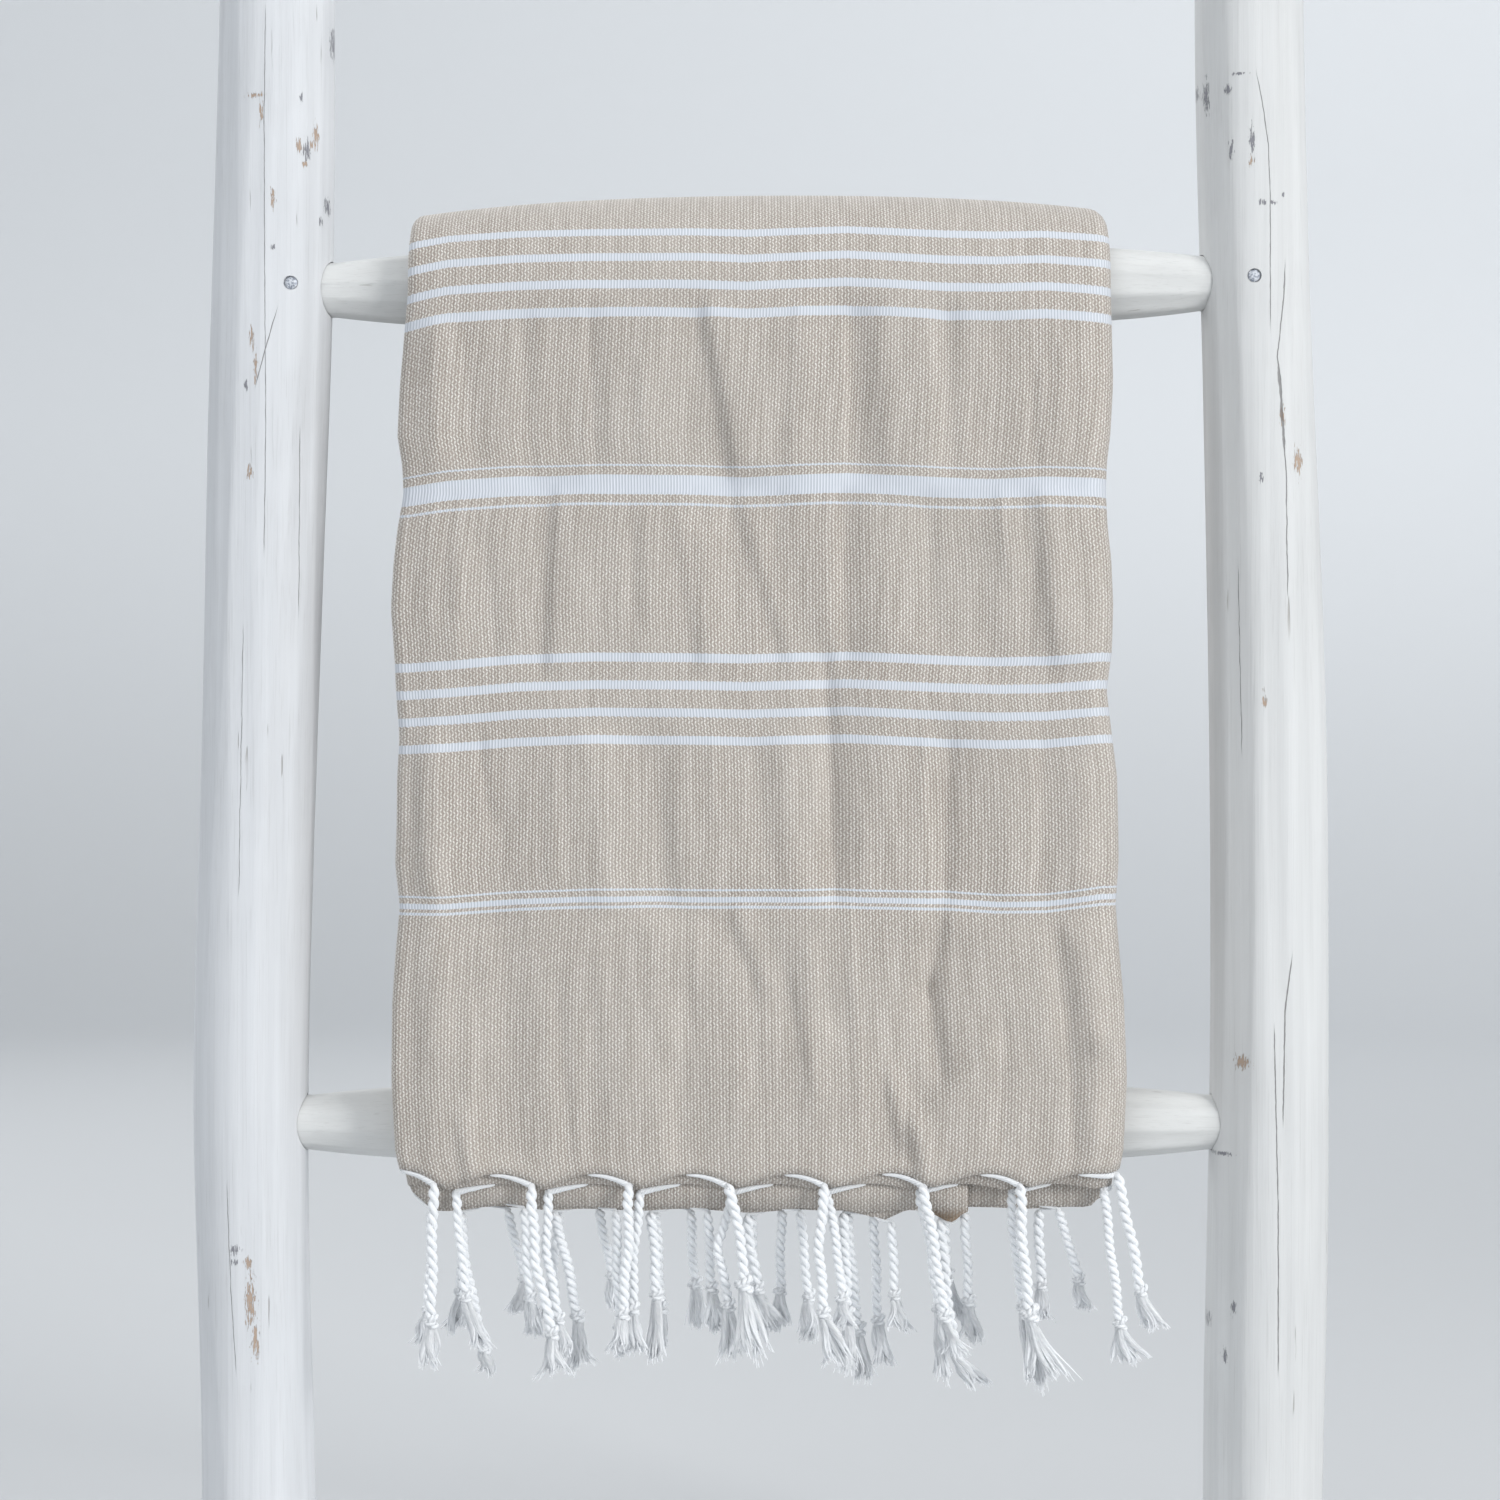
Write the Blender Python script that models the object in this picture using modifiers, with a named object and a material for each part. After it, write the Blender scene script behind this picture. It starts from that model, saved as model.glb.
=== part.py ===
"""A hammam towel, doubled and folded in thirds, draped over the upper rung of a short pole ladder.

Metres. +Z is up and the front faces -Y. The origin is on the floor under the middle of the part.

The towel is one sheet. It is doubled crosswise, so it has an outer half, which lies outside on the
rung, and an inner half under it, joined at the fold at the bottom of the back. The doubled cloth is
folded in thirds: the left third lies behind the middle one, and the right third behind both. That
makes six layers, numbered from 0 next to the rung to 5 at the front.
"""

import math
from collections import namedtuple

import bmesh
import bpy
import numpy as np
from mathutils import Matrix

# ---------------------------------------------------------------- ladder
LADDER_Y = 0.007  # the ladder's middle plane, which centres the whole part on the origin
FIT = 0.0003  # gap between pieces that touch
CUTTER_TURN = math.radians(5)  # keeps a cutter's corners off the corners of what it cuts

Section = namedtuple("Section", "height x radius")
LEFT_RAIL = (
    Section(0.000, -0.2395, 0.0272),
    Section(0.080, -0.2395, 0.0270),
    Section(0.146, -0.2413, 0.0263),
    Section(0.218, -0.2434, 0.0267),
    Section(0.290, -0.2442, 0.0277),
    Section(0.433, -0.2399, 0.0272),
    Section(0.576, -0.2361, 0.0286),
    Section(0.660, -0.2332, 0.0291),
    Section(0.770, -0.2311, 0.0277),
    Section(0.830, -0.2311, 0.0268),
)
RIGHT_RAIL = (
    Section(0.000, 0.2402, 0.0280),
    Section(0.080, 0.2402, 0.0284),
    Section(0.146, 0.2413, 0.0289),
    Section(0.218, 0.2430, 0.0287),
    Section(0.290, 0.2433, 0.0281),
    Section(0.433, 0.2434, 0.0282),
    Section(0.576, 0.2396, 0.0268),
    Section(0.660, 0.2368, 0.0258),
    Section(0.770, 0.2336, 0.0262),
    Section(0.830, 0.2336, 0.0254),
)
RAIL_BEVEL_RESOLUTION = 6  # sixteen sides
RAIL_RINGS_PER_SECTION = 3

# A rung's half is from its middle to the rails' inner sides; its tilt is in metres per metre.
Rung = namedtuple("Rung", "name height centre half tilt")
UPPER_RUNG = Rung("rung_upper", 0.6597, 0.0035, 0.2062, 0.0076)
LOWER_RUNG = Rung("rung_lower", 0.2601, -0.0012, 0.2140, 0.0)
RUNG_MIDDLE_RADIUS = 0.0200
RUNG_END_RADIUS = 0.0132
RUNG_BARREL_POWER = 4
RUNG_STEPS = 16
RUNG_RINGS = 14
TENON_DEPTH = 0.032
TENON_CHAMFER = 0.002

Nail = namedtuple("Nail", "name x seat")  # seat is how far before the ladder's plane its head sits
LEFT_NAIL = Nail("nail_left", -0.2212, 0.0242)
RIGHT_NAIL = Nail("nail_right", 0.2325, 0.0243)
NAIL_HEAD_RADIUS = 0.0030
NAIL_HEAD_HEIGHT = 0.0015
NAIL_SHANK_RADIUS = 0.0013
NAIL_LENGTH = 0.035
NAIL_STEPS = 12

# ---------------------------------------------------------------- towel, flat
TOWEL_WIDTH = 0.920
CLOTH = 0.0014  # thickness of the cloth
# Distances across the flat cloth, from the left third's free edge.
LEFT_BACK = 0.2597  # where the left fold begins, at the back
LEFT_FRONT = 0.2734  # where it ends, at the front
RIGHT_FRONT = 0.5945  # where the right fold begins, at the front
RIGHT_BACK = 0.6173  # where it ends, at the back
LEFT_TIP = (LEFT_BACK + LEFT_FRONT) / 2
RIGHT_TIP = (RIGHT_FRONT + RIGHT_BACK) / 2
# Half the height of each fold, in layers, where the outer half turns; the inner half is one less.
LEFT_FOLD = 1.5
RIGHT_FOLD = 2.5
LEFT_FOLD_LEVEL = 3.5
RIGHT_FOLD_LEVEL = 2.5
TOP_LEVEL = 5

# ---------------------------------------------------------------- towel, draped
RUNG_CLEARANCE = 0.0006  # between the rung's top and the innermost layer
PITCH_ON_RUNG_EDGE = 0.0030  # from layer to layer, at the towel's side edges
PITCH_ON_RUNG_MIDDLE = 0.0042
PITCH_FLAP = 0.0032
PITCH_HEM = 0.0044
FLAP_DEPTH = 0.0228  # innermost layer of a hanging flap, from the ladder's plane
HALF_SPAN = 0.168
BACK_BOTTOM = 0.311
BACK_SLANT = 0.10  # how much lower the side thirds' bottoms hang, for each metre from their fold

Edge = namedtuple("Edge", "height left right")  # the towel's outline on the front
OUTLINE = (
    Edge(0.2352, -0.1668, 0.1662),
    Edge(0.2840, -0.1719, 0.1708),
    Edge(0.3654, -0.1682, 0.1657),
    Edge(0.4003, -0.1698, 0.1671),
    Edge(0.4654, -0.1687, 0.1615),
    Edge(0.5049, -0.1724, 0.1647),
    Edge(0.5584, -0.1666, 0.1615),
    Edge(0.5863, -0.1696, 0.1633),
    Edge(0.6540, -0.1640, 0.1640),
)

HEM = 0.2352  # height of the front hem at its tassels
HEM_INNER_DROP = 0.0035  # the inner half's hem below the outer one
HEM_SIDE_DROP = 0.0125  # the side thirds' hems below the front one
HEM_SIDE_REACH = 0.045
HEM_SIDE_INNER_RISE = 0.0015
HEM_ARCH = 0.0038  # rise of the hem between two tassels
HEM_CORNER_LIFT = 0.0035
HEM_CORNER_REACH = 0.022
FREE_CORNER_DROP = 0.0065  # the left third's free corner, which hangs lowest
FREE_CORNER_REACH = 0.040

# Soft folds that run down the front: a trough's middle goes from x_top to x_bottom.
Trough = namedtuple("Trough", "top bottom x_top x_bottom half_width depth")
SWELL = 0.0042  # how far the front stands out between the troughs
SWELL_TOP = 0.640
SWELL_BOTTOM = 0.245
SWELL_FADE = 0.035
TROUGHS = (
    Trough(0.635, 0.565, -0.100, -0.096, 0.014, 0.0022),
    Trough(0.640, 0.570, -0.028, -0.019, 0.017, 0.0042),
    Trough(0.640, 0.568, 0.042, 0.043, 0.015, 0.0026),
    Trough(0.630, 0.560, 0.110, 0.108, 0.015, 0.0026),
    Trough(0.552, 0.484, -0.098, -0.100, 0.015, 0.0026),
    Trough(0.552, 0.490, -0.007, 0.012, 0.015, 0.0034),
    Trough(0.550, 0.484, 0.090, 0.100, 0.016, 0.0036),
    Trough(0.438, 0.372, -0.126, -0.124, 0.015, 0.0024),
    Trough(0.438, 0.372, -0.052, -0.048, 0.015, 0.0024),
    Trough(0.480, 0.390, 0.035, 0.037, 0.014, 0.0036),
    Trough(0.438, 0.375, 0.086, 0.084, 0.015, 0.0026),
    Trough(0.358, 0.318, -0.018, 0.020, 0.018, 0.0034),
    Trough(0.342, 0.250, 0.082, 0.062, 0.017, 0.0042),
    Trough(0.358, 0.320, 0.138, 0.150, 0.016, 0.0030),
)
TROUGH_FADE = 0.020

FRONT_COLUMNS = 15
LEFT_COLUMNS = 4
RIGHT_COLUMNS = 5
FOLD_STEPS = 4
FRONT_STATIONS = (0.0, 0.09, 0.17, 0.24, 0.31, 0.37, 0.46, 0.54, 0.61, 0.70, 0.79, 0.87, 0.94, 1.0)
HIDDEN_STATIONS = (0.0, 0.17, 0.37, 0.61, 0.79, 1.0)
BACK_STATIONS = (0.0, 0.2, 0.5, 1.0)
RUNG_TURN_STEPS = 8
BOTTOM_TURN_STEPS = 3

# ---------------------------------------------------------------- fringe
STRIP_HEIGHT = 0.0032
FRINGE_TASSELS = 21
FIRST_FRONT_TASSEL = 6  # tassels 0 to 5 hang from the left third, 6 to 13 from the front
FIRST_RIGHT_TASSEL = 14
# Where the first front tassel hangs, across the cloth, and how far apart the tassels are.
TasselRow = namedtuple("TasselRow", "first spacing")
OUTER_ROW = TasselRow(0.2842, 0.0452)
INNER_ROW = TasselRow(0.2938, 0.0430)
# How a tassel hangs: sideways shifts from its root, and drops below it. Spread is half its end's width.
Hang = namedtuple("Hang", "bend knot tip knot_drop tip_drop spread")
OUTER_HANGS = (
    Hang(0.0030, 0.0070, 0.0200, 0.0630, 0.0815, 0.0060),
    Hang(0.0010, 0.0018, 0.0037, 0.0490, 0.0785, 0.0040),
    Hang(0.0020, 0.0050, 0.0130, 0.0355, 0.0560, 0.0050),
    Hang(0.0020, 0.0028, 0.0020, 0.0400, 0.0760, 0.0045),
    Hang(0.0060, 0.0110, 0.0120, 0.0500, 0.0785, 0.0055),
    Hang(0.0050, 0.0120, 0.0145, 0.0640, 0.0780, 0.0040),
    Hang(-0.0002, -0.0005, -0.0014, 0.0642, 0.0870, 0.0045),
    Hang(0.0020, 0.0100, 0.0105, 0.0690, 0.0900, 0.0075),
    Hang(-0.0004, -0.0028, -0.0050, 0.0600, 0.0780, 0.0040),
    Hang(0.0065, 0.0079, 0.0125, 0.0465, 0.0850, 0.0110),
    Hang(-0.0026, -0.0005, 0.0077, 0.0595, 0.0850, 0.0080),
    Hang(0.0059, 0.0100, 0.0160, 0.0610, 0.0810, 0.0070),
    Hang(0.0014, 0.0042, 0.0100, 0.0620, 0.0930, 0.0110),
    Hang(0.0061, 0.0110, 0.0175, 0.0553, 0.0740, 0.0070),
    Hang(0.0005, 0.0014, 0.0030, 0.0370, 0.0560, 0.0045),
    Hang(0.0010, 0.0023, 0.0080, 0.0330, 0.0550, 0.0050),
    Hang(0.0025, 0.0055, 0.0083, 0.0580, 0.0850, 0.0045),
    Hang(0.0010, 0.0023, 0.0050, 0.0430, 0.0640, 0.0050),
    Hang(0.0015, 0.0028, 0.0010, 0.0480, 0.0700, 0.0045),
    Hang(-0.0015, -0.0033, -0.0055, 0.0370, 0.0570, 0.0050),
    Hang(-0.0004, -0.0010, -0.0045, 0.0400, 0.0620, 0.0045),
)
INNER_HANGS = (
    Hang(0.0006, 0.0014, 0.0046, 0.0350, 0.0530, 0.0045),
    Hang(0.0020, 0.0042, 0.0033, 0.0410, 0.0620, 0.0045),
    Hang(0.0008, 0.0020, 0.0050, 0.0370, 0.0600, 0.0050),
    Hang(0.0008, 0.0018, 0.0032, 0.0550, 0.0700, 0.0040),
    Hang(0.0014, 0.0033, 0.0050, 0.0430, 0.0620, 0.0050),
    Hang(-0.0006, -0.0014, -0.0054, 0.0470, 0.0660, 0.0045),
    Hang(0.0027, 0.0053, 0.0130, 0.0498, 0.0750, 0.0055),
    Hang(-0.0004, 0.0052, 0.0077, 0.0600, 0.0790, 0.0050),
    Hang(-0.0028, -0.0037, -0.0010, 0.0550, 0.0780, 0.0040),
    Hang(-0.0070, -0.0023, -0.0014, 0.0535, 0.0810, 0.0060),
    Hang(0.0050, 0.0075, 0.0090, 0.0500, 0.0660, 0.0040),
    Hang(0.0056, 0.0093, 0.0123, 0.0550, 0.0910, 0.0050),
    Hang(0.0014, 0.0056, 0.0118, 0.0540, 0.0960, 0.0060),
    Hang(0.0036, 0.0074, 0.0126, 0.0628, 0.0825, 0.0090),
    Hang(0.0060, 0.0107, 0.0126, 0.0350, 0.0510, 0.0045),
    Hang(0.0008, 0.0019, 0.0039, 0.0450, 0.0660, 0.0050),
    Hang(0.0010, 0.0023, 0.0051, 0.0540, 0.0770, 0.0045),
    Hang(-0.0004, -0.0009, -0.0019, 0.0400, 0.0600, 0.0050),
    Hang(0.0010, 0.0023, 0.0032, 0.0360, 0.0580, 0.0045),
    Hang(0.0030, 0.0060, 0.0080, 0.0330, 0.0500, 0.0050),
    Hang(0.0040, 0.0080, 0.0035, 0.0340, 0.0520, 0.0045),
)
# How far forward a tassel stands just under its root, and how much further at its end, by layer.
Lean = namedtuple("Lean", "start end")
LEANS = {
    5: Lean(0.0019, 0.0070),
    4: Lean(0.0008, 0.0038),
    3: Lean(0.0002, 0.0010),
    2: Lean(-0.0002, -0.0014),
    1: Lean(-0.0006, -0.0040),
    0: Lean(-0.0010, -0.0068),
}
LEAN_REACH = 0.006
ROOT_DEPTH = 0.0012  # a root's top, below the strip's top edge
ROPE_START = 0.0055
# A ring of a tassel: how far along it lies, its half width and half depth, and its turn.
Ring = namedtuple("Ring", "drop half_width half_depth turn")
ROPE_RADIUS = 0.0024
ROPE_RINGS = 8
ROPE_TURN = math.radians(45)
KNOT_HALF_LENGTH = 0.0042
KNOT_RADIUS = 0.0043
KNOT_HALF_DEPTH = 0.0028
BRUSH_NECK = 0.0022
BRUSH_HALF_DEPTH = 0.0024
BRUSH_END_DEPTH = 0.0012


# ---------------------------------------------------------------- helpers
def clear_scene():
    for obj in list(bpy.data.objects):
        bpy.data.objects.remove(obj, do_unlink=True)


def collection(name):
    made = bpy.data.collections.new(name)
    bpy.context.scene.collection.children.link(made)
    return made


def material(name, colour, roughness, metallic=0.0):
    made = bpy.data.materials.new(name)
    made.use_nodes = True
    shader = made.node_tree.nodes["Principled BSDF"]
    shader.inputs["Base Color"].default_value = (*colour, 1.0)
    shader.inputs["Roughness"].default_value = roughness
    shader.inputs["Metallic"].default_value = metallic
    return made


def smoothstep(amount):
    held = min(max(amount, 0.0), 1.0)
    return held * held * (3 - 2 * held)


def blend(start, end, share):
    return start + (end - start) * share


def mesh_object(name, bm, target, finish=None):
    mesh = bpy.data.meshes.new(name)
    bmesh.ops.recalc_face_normals(bm, faces=bm.faces)
    bm.to_mesh(mesh)
    bm.free()
    obj = bpy.data.objects.new(name, mesh)
    target.objects.link(obj)
    if finish:
        mesh.materials.append(finish)
    return obj


def make_cutter(name, radius, length, centre, rotation):
    """A cylinder that only cuts: hidden in a render, and drawn as wire."""
    bm = bmesh.new()
    off = Matrix.Rotation(CUTTER_TURN, 4, "Z")
    bmesh.ops.create_cone(
        bm, cap_ends=True, segments=20, radius1=radius, radius2=radius, depth=length, matrix=off
    )
    cutter = mesh_object(name, bm, CUTTERS)
    cutter.location = centre
    cutter.rotation_euler = rotation
    cutter.hide_render = True
    cutter.display_type = "WIRE"
    return cutter


def cut(obj, cutter):
    modifier = obj.modifiers.new("cut " + cutter.name, "BOOLEAN")
    modifier.operation = "DIFFERENCE"
    modifier.solver = "EXACT"
    modifier.object = cutter


# ---------------------------------------------------------------- ladder pieces
def rung_radius(rung, x):
    """The rung's radius at x: a barrel that narrows towards the rails, then a straight tenon."""
    share = min(abs(x - rung.centre) / rung.half, 1.0)
    return blend(RUNG_MIDDLE_RADIUS, RUNG_END_RADIUS, share**RUNG_BARREL_POWER)


def rung_height(rung, x):
    return rung.height + rung.tilt * (x - rung.centre)


def rung_rotation(rung):
    """Turns an object's own +Z to run along the rung, from left to right."""
    return (0.0, math.radians(90) - math.atan(rung.tilt), 0.0)


def make_rung(rung, target, finish):
    """A turned profile about the rung's own axis, top to bottom on its outer side."""
    reach = rung.half + TENON_DEPTH
    stops = [rung.half * math.cos(math.pi * k / RUNG_RINGS) for k in range(RUNG_RINGS + 1)]
    profile = [(0.0, reach), (RUNG_END_RADIUS - TENON_CHAMFER, reach)]
    profile += [(RUNG_END_RADIUS, reach - TENON_CHAMFER)]
    profile += [(rung_radius(rung, rung.centre + stop), stop) for stop in stops]
    profile += [(RUNG_END_RADIUS, TENON_CHAMFER - reach)]
    profile += [(RUNG_END_RADIUS - TENON_CHAMFER, -reach), (0.0, -reach)]
    obj = turned(rung.name, profile, RUNG_STEPS, target, finish)
    obj.location = (rung.centre, LADDER_Y, rung.height)
    obj.rotation_euler = rung_rotation(rung)
    return obj


def turned(name, profile, steps, target, finish):
    """A profile of (radius, height) points, turned about Z by a Screw modifier."""
    mesh = bpy.data.meshes.new(name)
    points = [(radius, 0.0, height) for radius, height in profile]
    mesh.from_pydata(points, [(k, k + 1) for k in range(len(points) - 1)], [])
    obj = bpy.data.objects.new(name, mesh)
    target.objects.link(obj)
    mesh.materials.append(finish)
    screw = obj.modifiers.new("turn", "SCREW")
    screw.steps = steps
    screw.render_steps = steps
    screw.use_merge_vertices = True
    screw.merge_threshold = 0.00001
    screw.use_smooth_shade = True
    return obj


def make_rail(name, sections, target, finish):
    """A crooked pole: a curve with a bevel, whose radius follows the sections, made into a mesh."""
    curve = bpy.data.curves.new(name + " curve", "CURVE")
    curve.dimensions = "3D"
    curve.bevel_depth = 1.0
    curve.bevel_resolution = RAIL_BEVEL_RESOLUTION
    curve.resolution_u = RAIL_RINGS_PER_SECTION
    curve.use_fill_caps = True
    curve.twist_mode = "MINIMUM"
    spline = curve.splines.new("NURBS")
    spline.points.add(len(sections) - 1)
    for point, section in zip(spline.points, sections):
        point.co = (section.x, LADDER_Y, section.height, 1.0)
        point.radius = section.radius
    spline.order_u = 4
    spline.use_endpoint_u = True
    pole = bpy.data.objects.new(name + " curve", curve)
    target.objects.link(pole)
    bpy.context.view_layer.update()
    graph = bpy.context.evaluated_depsgraph_get()
    mesh = bpy.data.meshes.new_from_object(pole.evaluated_get(graph))
    bm = bmesh.new()
    bm.from_mesh(mesh)
    bpy.data.meshes.remove(mesh)
    bmesh.ops.remove_doubles(bm, verts=bm.verts, dist=0.00001)
    obj = mesh_object(name, bm, target, finish)
    obj.matrix_world = pole.matrix_world
    obj.data.shade_smooth()
    bpy.data.objects.remove(pole, do_unlink=True)
    return obj


def cut_sockets(rail, side):
    """A socket for each rung's end. Side is -1 at the left rail and 1 at the right one."""
    for rung in (UPPER_RUNG, LOWER_RUNG):
        length = TENON_DEPTH + FIT + 0.02
        middle = rung.centre + side * (rung.half + TENON_DEPTH + FIT - length / 2)
        centre = (middle, LADDER_Y, rung_height(rung, middle))
        name = f"{rung.name} socket {rail.name}"
        cut(rail, make_cutter(name, RUNG_END_RADIUS + FIT, length, centre, rung_rotation(rung)))


def make_nail(nail, target, finish):
    """A nail that points along +Y, with its head's underside on its seat."""
    profile = (
        (0.0, NAIL_HEAD_HEIGHT),
        (0.6 * NAIL_HEAD_RADIUS, 0.9 * NAIL_HEAD_HEIGHT),
        (NAIL_HEAD_RADIUS, 0.4 * NAIL_HEAD_HEIGHT),
        (NAIL_HEAD_RADIUS, 0.0),
        (NAIL_SHANK_RADIUS, 0.0),
        (NAIL_SHANK_RADIUS, 0.003 - NAIL_LENGTH),
        (0.0, -NAIL_LENGTH),
    )
    obj = turned(nail.name, profile, NAIL_STEPS, target, finish)
    obj.location = (nail.x, LADDER_Y - nail.seat, rung_height(UPPER_RUNG, nail.x))
    obj.rotation_euler = (math.radians(90), 0.0, 0.0)
    return obj


def cut_nail_hole(nail, rail, rung):
    """A hole through the rail into the rung's end, and a flat seat for the head."""
    height = rung_height(UPPER_RUNG, nail.x)
    upright = (math.radians(90), 0.0, 0.0)
    deep = NAIL_LENGTH + FIT + 0.01
    centre = (nail.x, LADDER_Y - nail.seat - 0.01 + deep / 2, height)
    hole = make_cutter(nail.name + " hole", NAIL_SHANK_RADIUS + FIT, deep, centre, upright)
    wide = 0.01
    centre = (nail.x, LADDER_Y - nail.seat + FIT - wide / 2, height)
    seat = make_cutter(nail.name + " seat", NAIL_HEAD_RADIUS + FIT, wide, centre, upright)
    cut(rail, seat)
    cut(rail, hole)
    cut(rung, hole)


# ---------------------------------------------------------------- the towel's folds
def across(u, half, left, right, pitch):
    """x, and the layer counted from the rung, for cloth that lies u from the left third's edge.

    Half is 0 on the outer half, 1 on the inner half, and between them in the bottom fold.
    """
    left_radius = LEFT_FOLD - half
    right_radius = RIGHT_FOLD - half
    left_end = left + LEFT_FOLD * pitch
    right_end = right - RIGHT_FOLD * pitch
    if u <= LEFT_BACK:
        return left_end + LEFT_BACK - u, LEFT_FOLD_LEVEL - left_radius
    if u < LEFT_FRONT:
        turn = math.pi * (u - LEFT_BACK) / (LEFT_FRONT - LEFT_BACK)
        level = LEFT_FOLD_LEVEL - left_radius * math.cos(turn)
        return left_end - left_radius * pitch * math.sin(turn), level
    if u <= RIGHT_FRONT:
        share = (u - LEFT_FRONT) / (RIGHT_FRONT - LEFT_FRONT)
        return blend(left_end, right_end, share), TOP_LEVEL - half
    if u < RIGHT_BACK:
        turn = math.pi * (u - RIGHT_FRONT) / (RIGHT_BACK - RIGHT_FRONT)
        level = RIGHT_FOLD_LEVEL + right_radius * math.cos(turn)
        return right_end + right_radius * pitch * math.sin(turn), level
    return right_end - (u - RIGHT_BACK), RIGHT_FOLD_LEVEL - right_radius


def past_fold(u):
    """How far u lies past the nearer side fold, or 0 on the front third."""
    return max(LEFT_TIP - u, u - RIGHT_TIP, 0.0)


def hem_height(u, half):
    """Height of the cloth's end. It arches up between the tassels and hangs lower behind."""
    row = OUTER_ROW if half == 0 else INNER_ROW
    behind = smoothstep(past_fold(u) / HEM_SIDE_REACH)
    side_drop = HEM_SIDE_DROP - HEM_SIDE_INNER_RISE * half
    drop = blend(HEM_INNER_DROP * half, side_drop, behind)
    from_fold = min(abs(u - LEFT_TIP), abs(u - RIGHT_TIP))
    level = 1 - smoothstep(from_fold / HEM_CORNER_REACH)
    corner = HEM_CORNER_LIFT * level
    arch = HEM_ARCH * math.sin(math.pi * (u - row.first) / row.spacing) ** 2 * (1 - level)
    free = FREE_CORNER_DROP * (1 - smoothstep(u / FREE_CORNER_REACH))
    return HEM - drop + arch + corner - free


def outline_at(height):
    """The towel's left and right edges at a height on the front."""
    heights = [edge.height for edge in OUTLINE]
    left = np.interp(height, heights, [edge.left for edge in OUTLINE])
    right = np.interp(height, heights, [edge.right for edge in OUTLINE])
    return float(left), float(right)


def relief(x, height):
    """How far the front stands out: a soft swell, less the troughs that run down it."""
    fade_top = smoothstep((SWELL_TOP + SWELL_FADE - height) / SWELL_FADE)
    fade_bottom = smoothstep((height - SWELL_BOTTOM + SWELL_FADE) / SWELL_FADE)
    fade_side = smoothstep((HALF_SPAN - abs(x)) / SWELL_FADE)
    out = SWELL
    for trough in TROUGHS:
        share = (trough.top - height) / (trough.top - trough.bottom)
        middle = blend(trough.x_top, trough.x_bottom, min(max(share, 0.0), 1.0))
        past = max(height - trough.top, trough.bottom - height, 0.0)
        away = (x - middle) / trough.half_width
        out -= trough.depth * (1 - smoothstep(past / TROUGH_FADE)) * math.exp(-away * away)
    return max(out, 0.0) * fade_top * fade_bottom * fade_side


def pitch_on_rung(x):
    middle = 1 - min(abs(x) / HALF_SPAN, 1.0) ** 2
    return blend(PITCH_ON_RUNG_EDGE, PITCH_ON_RUNG_MIDDLE, middle)


def depth_on_rung(x):
    return rung_radius(UPPER_RUNG, x) + RUNG_CLEARANCE + CLOTH / 2


def flap_pitch(x, share):
    """From layer to layer, at a share of the way from the rung down to the hem."""
    pitch = blend(pitch_on_rung(x), PITCH_FLAP, smoothstep(share / 0.35))
    return blend(pitch, PITCH_HEM, smoothstep((share - 0.6) / 0.4))


def flap_depth(x, share):
    return blend(depth_on_rung(x), FLAP_DEPTH, smoothstep(share / 0.3))


def front_point(u, half, share):
    """A point of the front flap, at a share of the way from the rung down to the hem."""
    top = rung_height(UPPER_RUNG, 0.0)
    height = blend(top, hem_height(u, half), share)
    left, right = outline_at(height)
    x, level = across(u, half, left, right, flap_pitch(HALF_SPAN, share))
    height = blend(rung_height(UPPER_RUNG, x), hem_height(u, half), share)
    depth = flap_depth(x, share) + level * flap_pitch(x, share)
    depth += relief(x, height) * level / TOP_LEVEL
    return x, LADDER_Y - depth, height


def rung_point(u, half, turn):
    """A point over the rung: turn is 0 at the front and pi at the back."""
    x, level = across(u, half, OUTLINE[-1].left, OUTLINE[-1].right, PITCH_ON_RUNG_EDGE)
    radius = depth_on_rung(x) + level * pitch_on_rung(x)
    height = rung_height(UPPER_RUNG, x) + radius * math.sin(turn)
    return x, LADDER_Y - radius * math.cos(turn), height


def back_point(u, half, share, below=0.0):
    """A point of the back flap, at a share of the way from the rung down to its bottom fold."""
    pitch = blend(PITCH_ON_RUNG_EDGE, PITCH_FLAP, share)
    x, level = across(u, half, OUTLINE[-1].left, OUTLINE[-1].right, pitch)
    bottom = BACK_BOTTOM - BACK_SLANT * past_fold(u)
    height = blend(rung_height(UPPER_RUNG, x), bottom, share) - below
    pitch = blend(pitch_on_rung(x), PITCH_FLAP, smoothstep(share / 0.5))
    return x, LADDER_Y + flap_depth(x, share) + level * pitch, height


def bottom_point(u, turn):
    """A point of the fold that joins the two halves; turn is 0 at the outer and pi at the inner."""
    half = (1 - math.cos(turn)) / 2
    return back_point(u, half, 1.0, PITCH_FLAP / 2 * math.sin(turn))


def towel_columns():
    """Where the cloth's columns lie across it. On the front they meet the outer tassels."""
    left = np.linspace(0.0, LEFT_BACK, LEFT_COLUMNS + 1)
    left_fold = np.linspace(LEFT_BACK, LEFT_FRONT, FOLD_STEPS + 1)
    first = OUTER_ROW.first
    front = [first + k * OUTER_ROW.spacing / 2 for k in range(FRONT_COLUMNS)]
    front = [u for u in front if LEFT_FRONT + 0.004 < u < RIGHT_FRONT - 0.004]
    right_fold = np.linspace(RIGHT_FRONT, RIGHT_BACK, FOLD_STEPS + 1)
    right = np.linspace(RIGHT_BACK, TOWEL_WIDTH, RIGHT_COLUMNS + 1)
    return [*left, *left_fold[1:], *front, *right_fold, *right[1:]]


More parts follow.
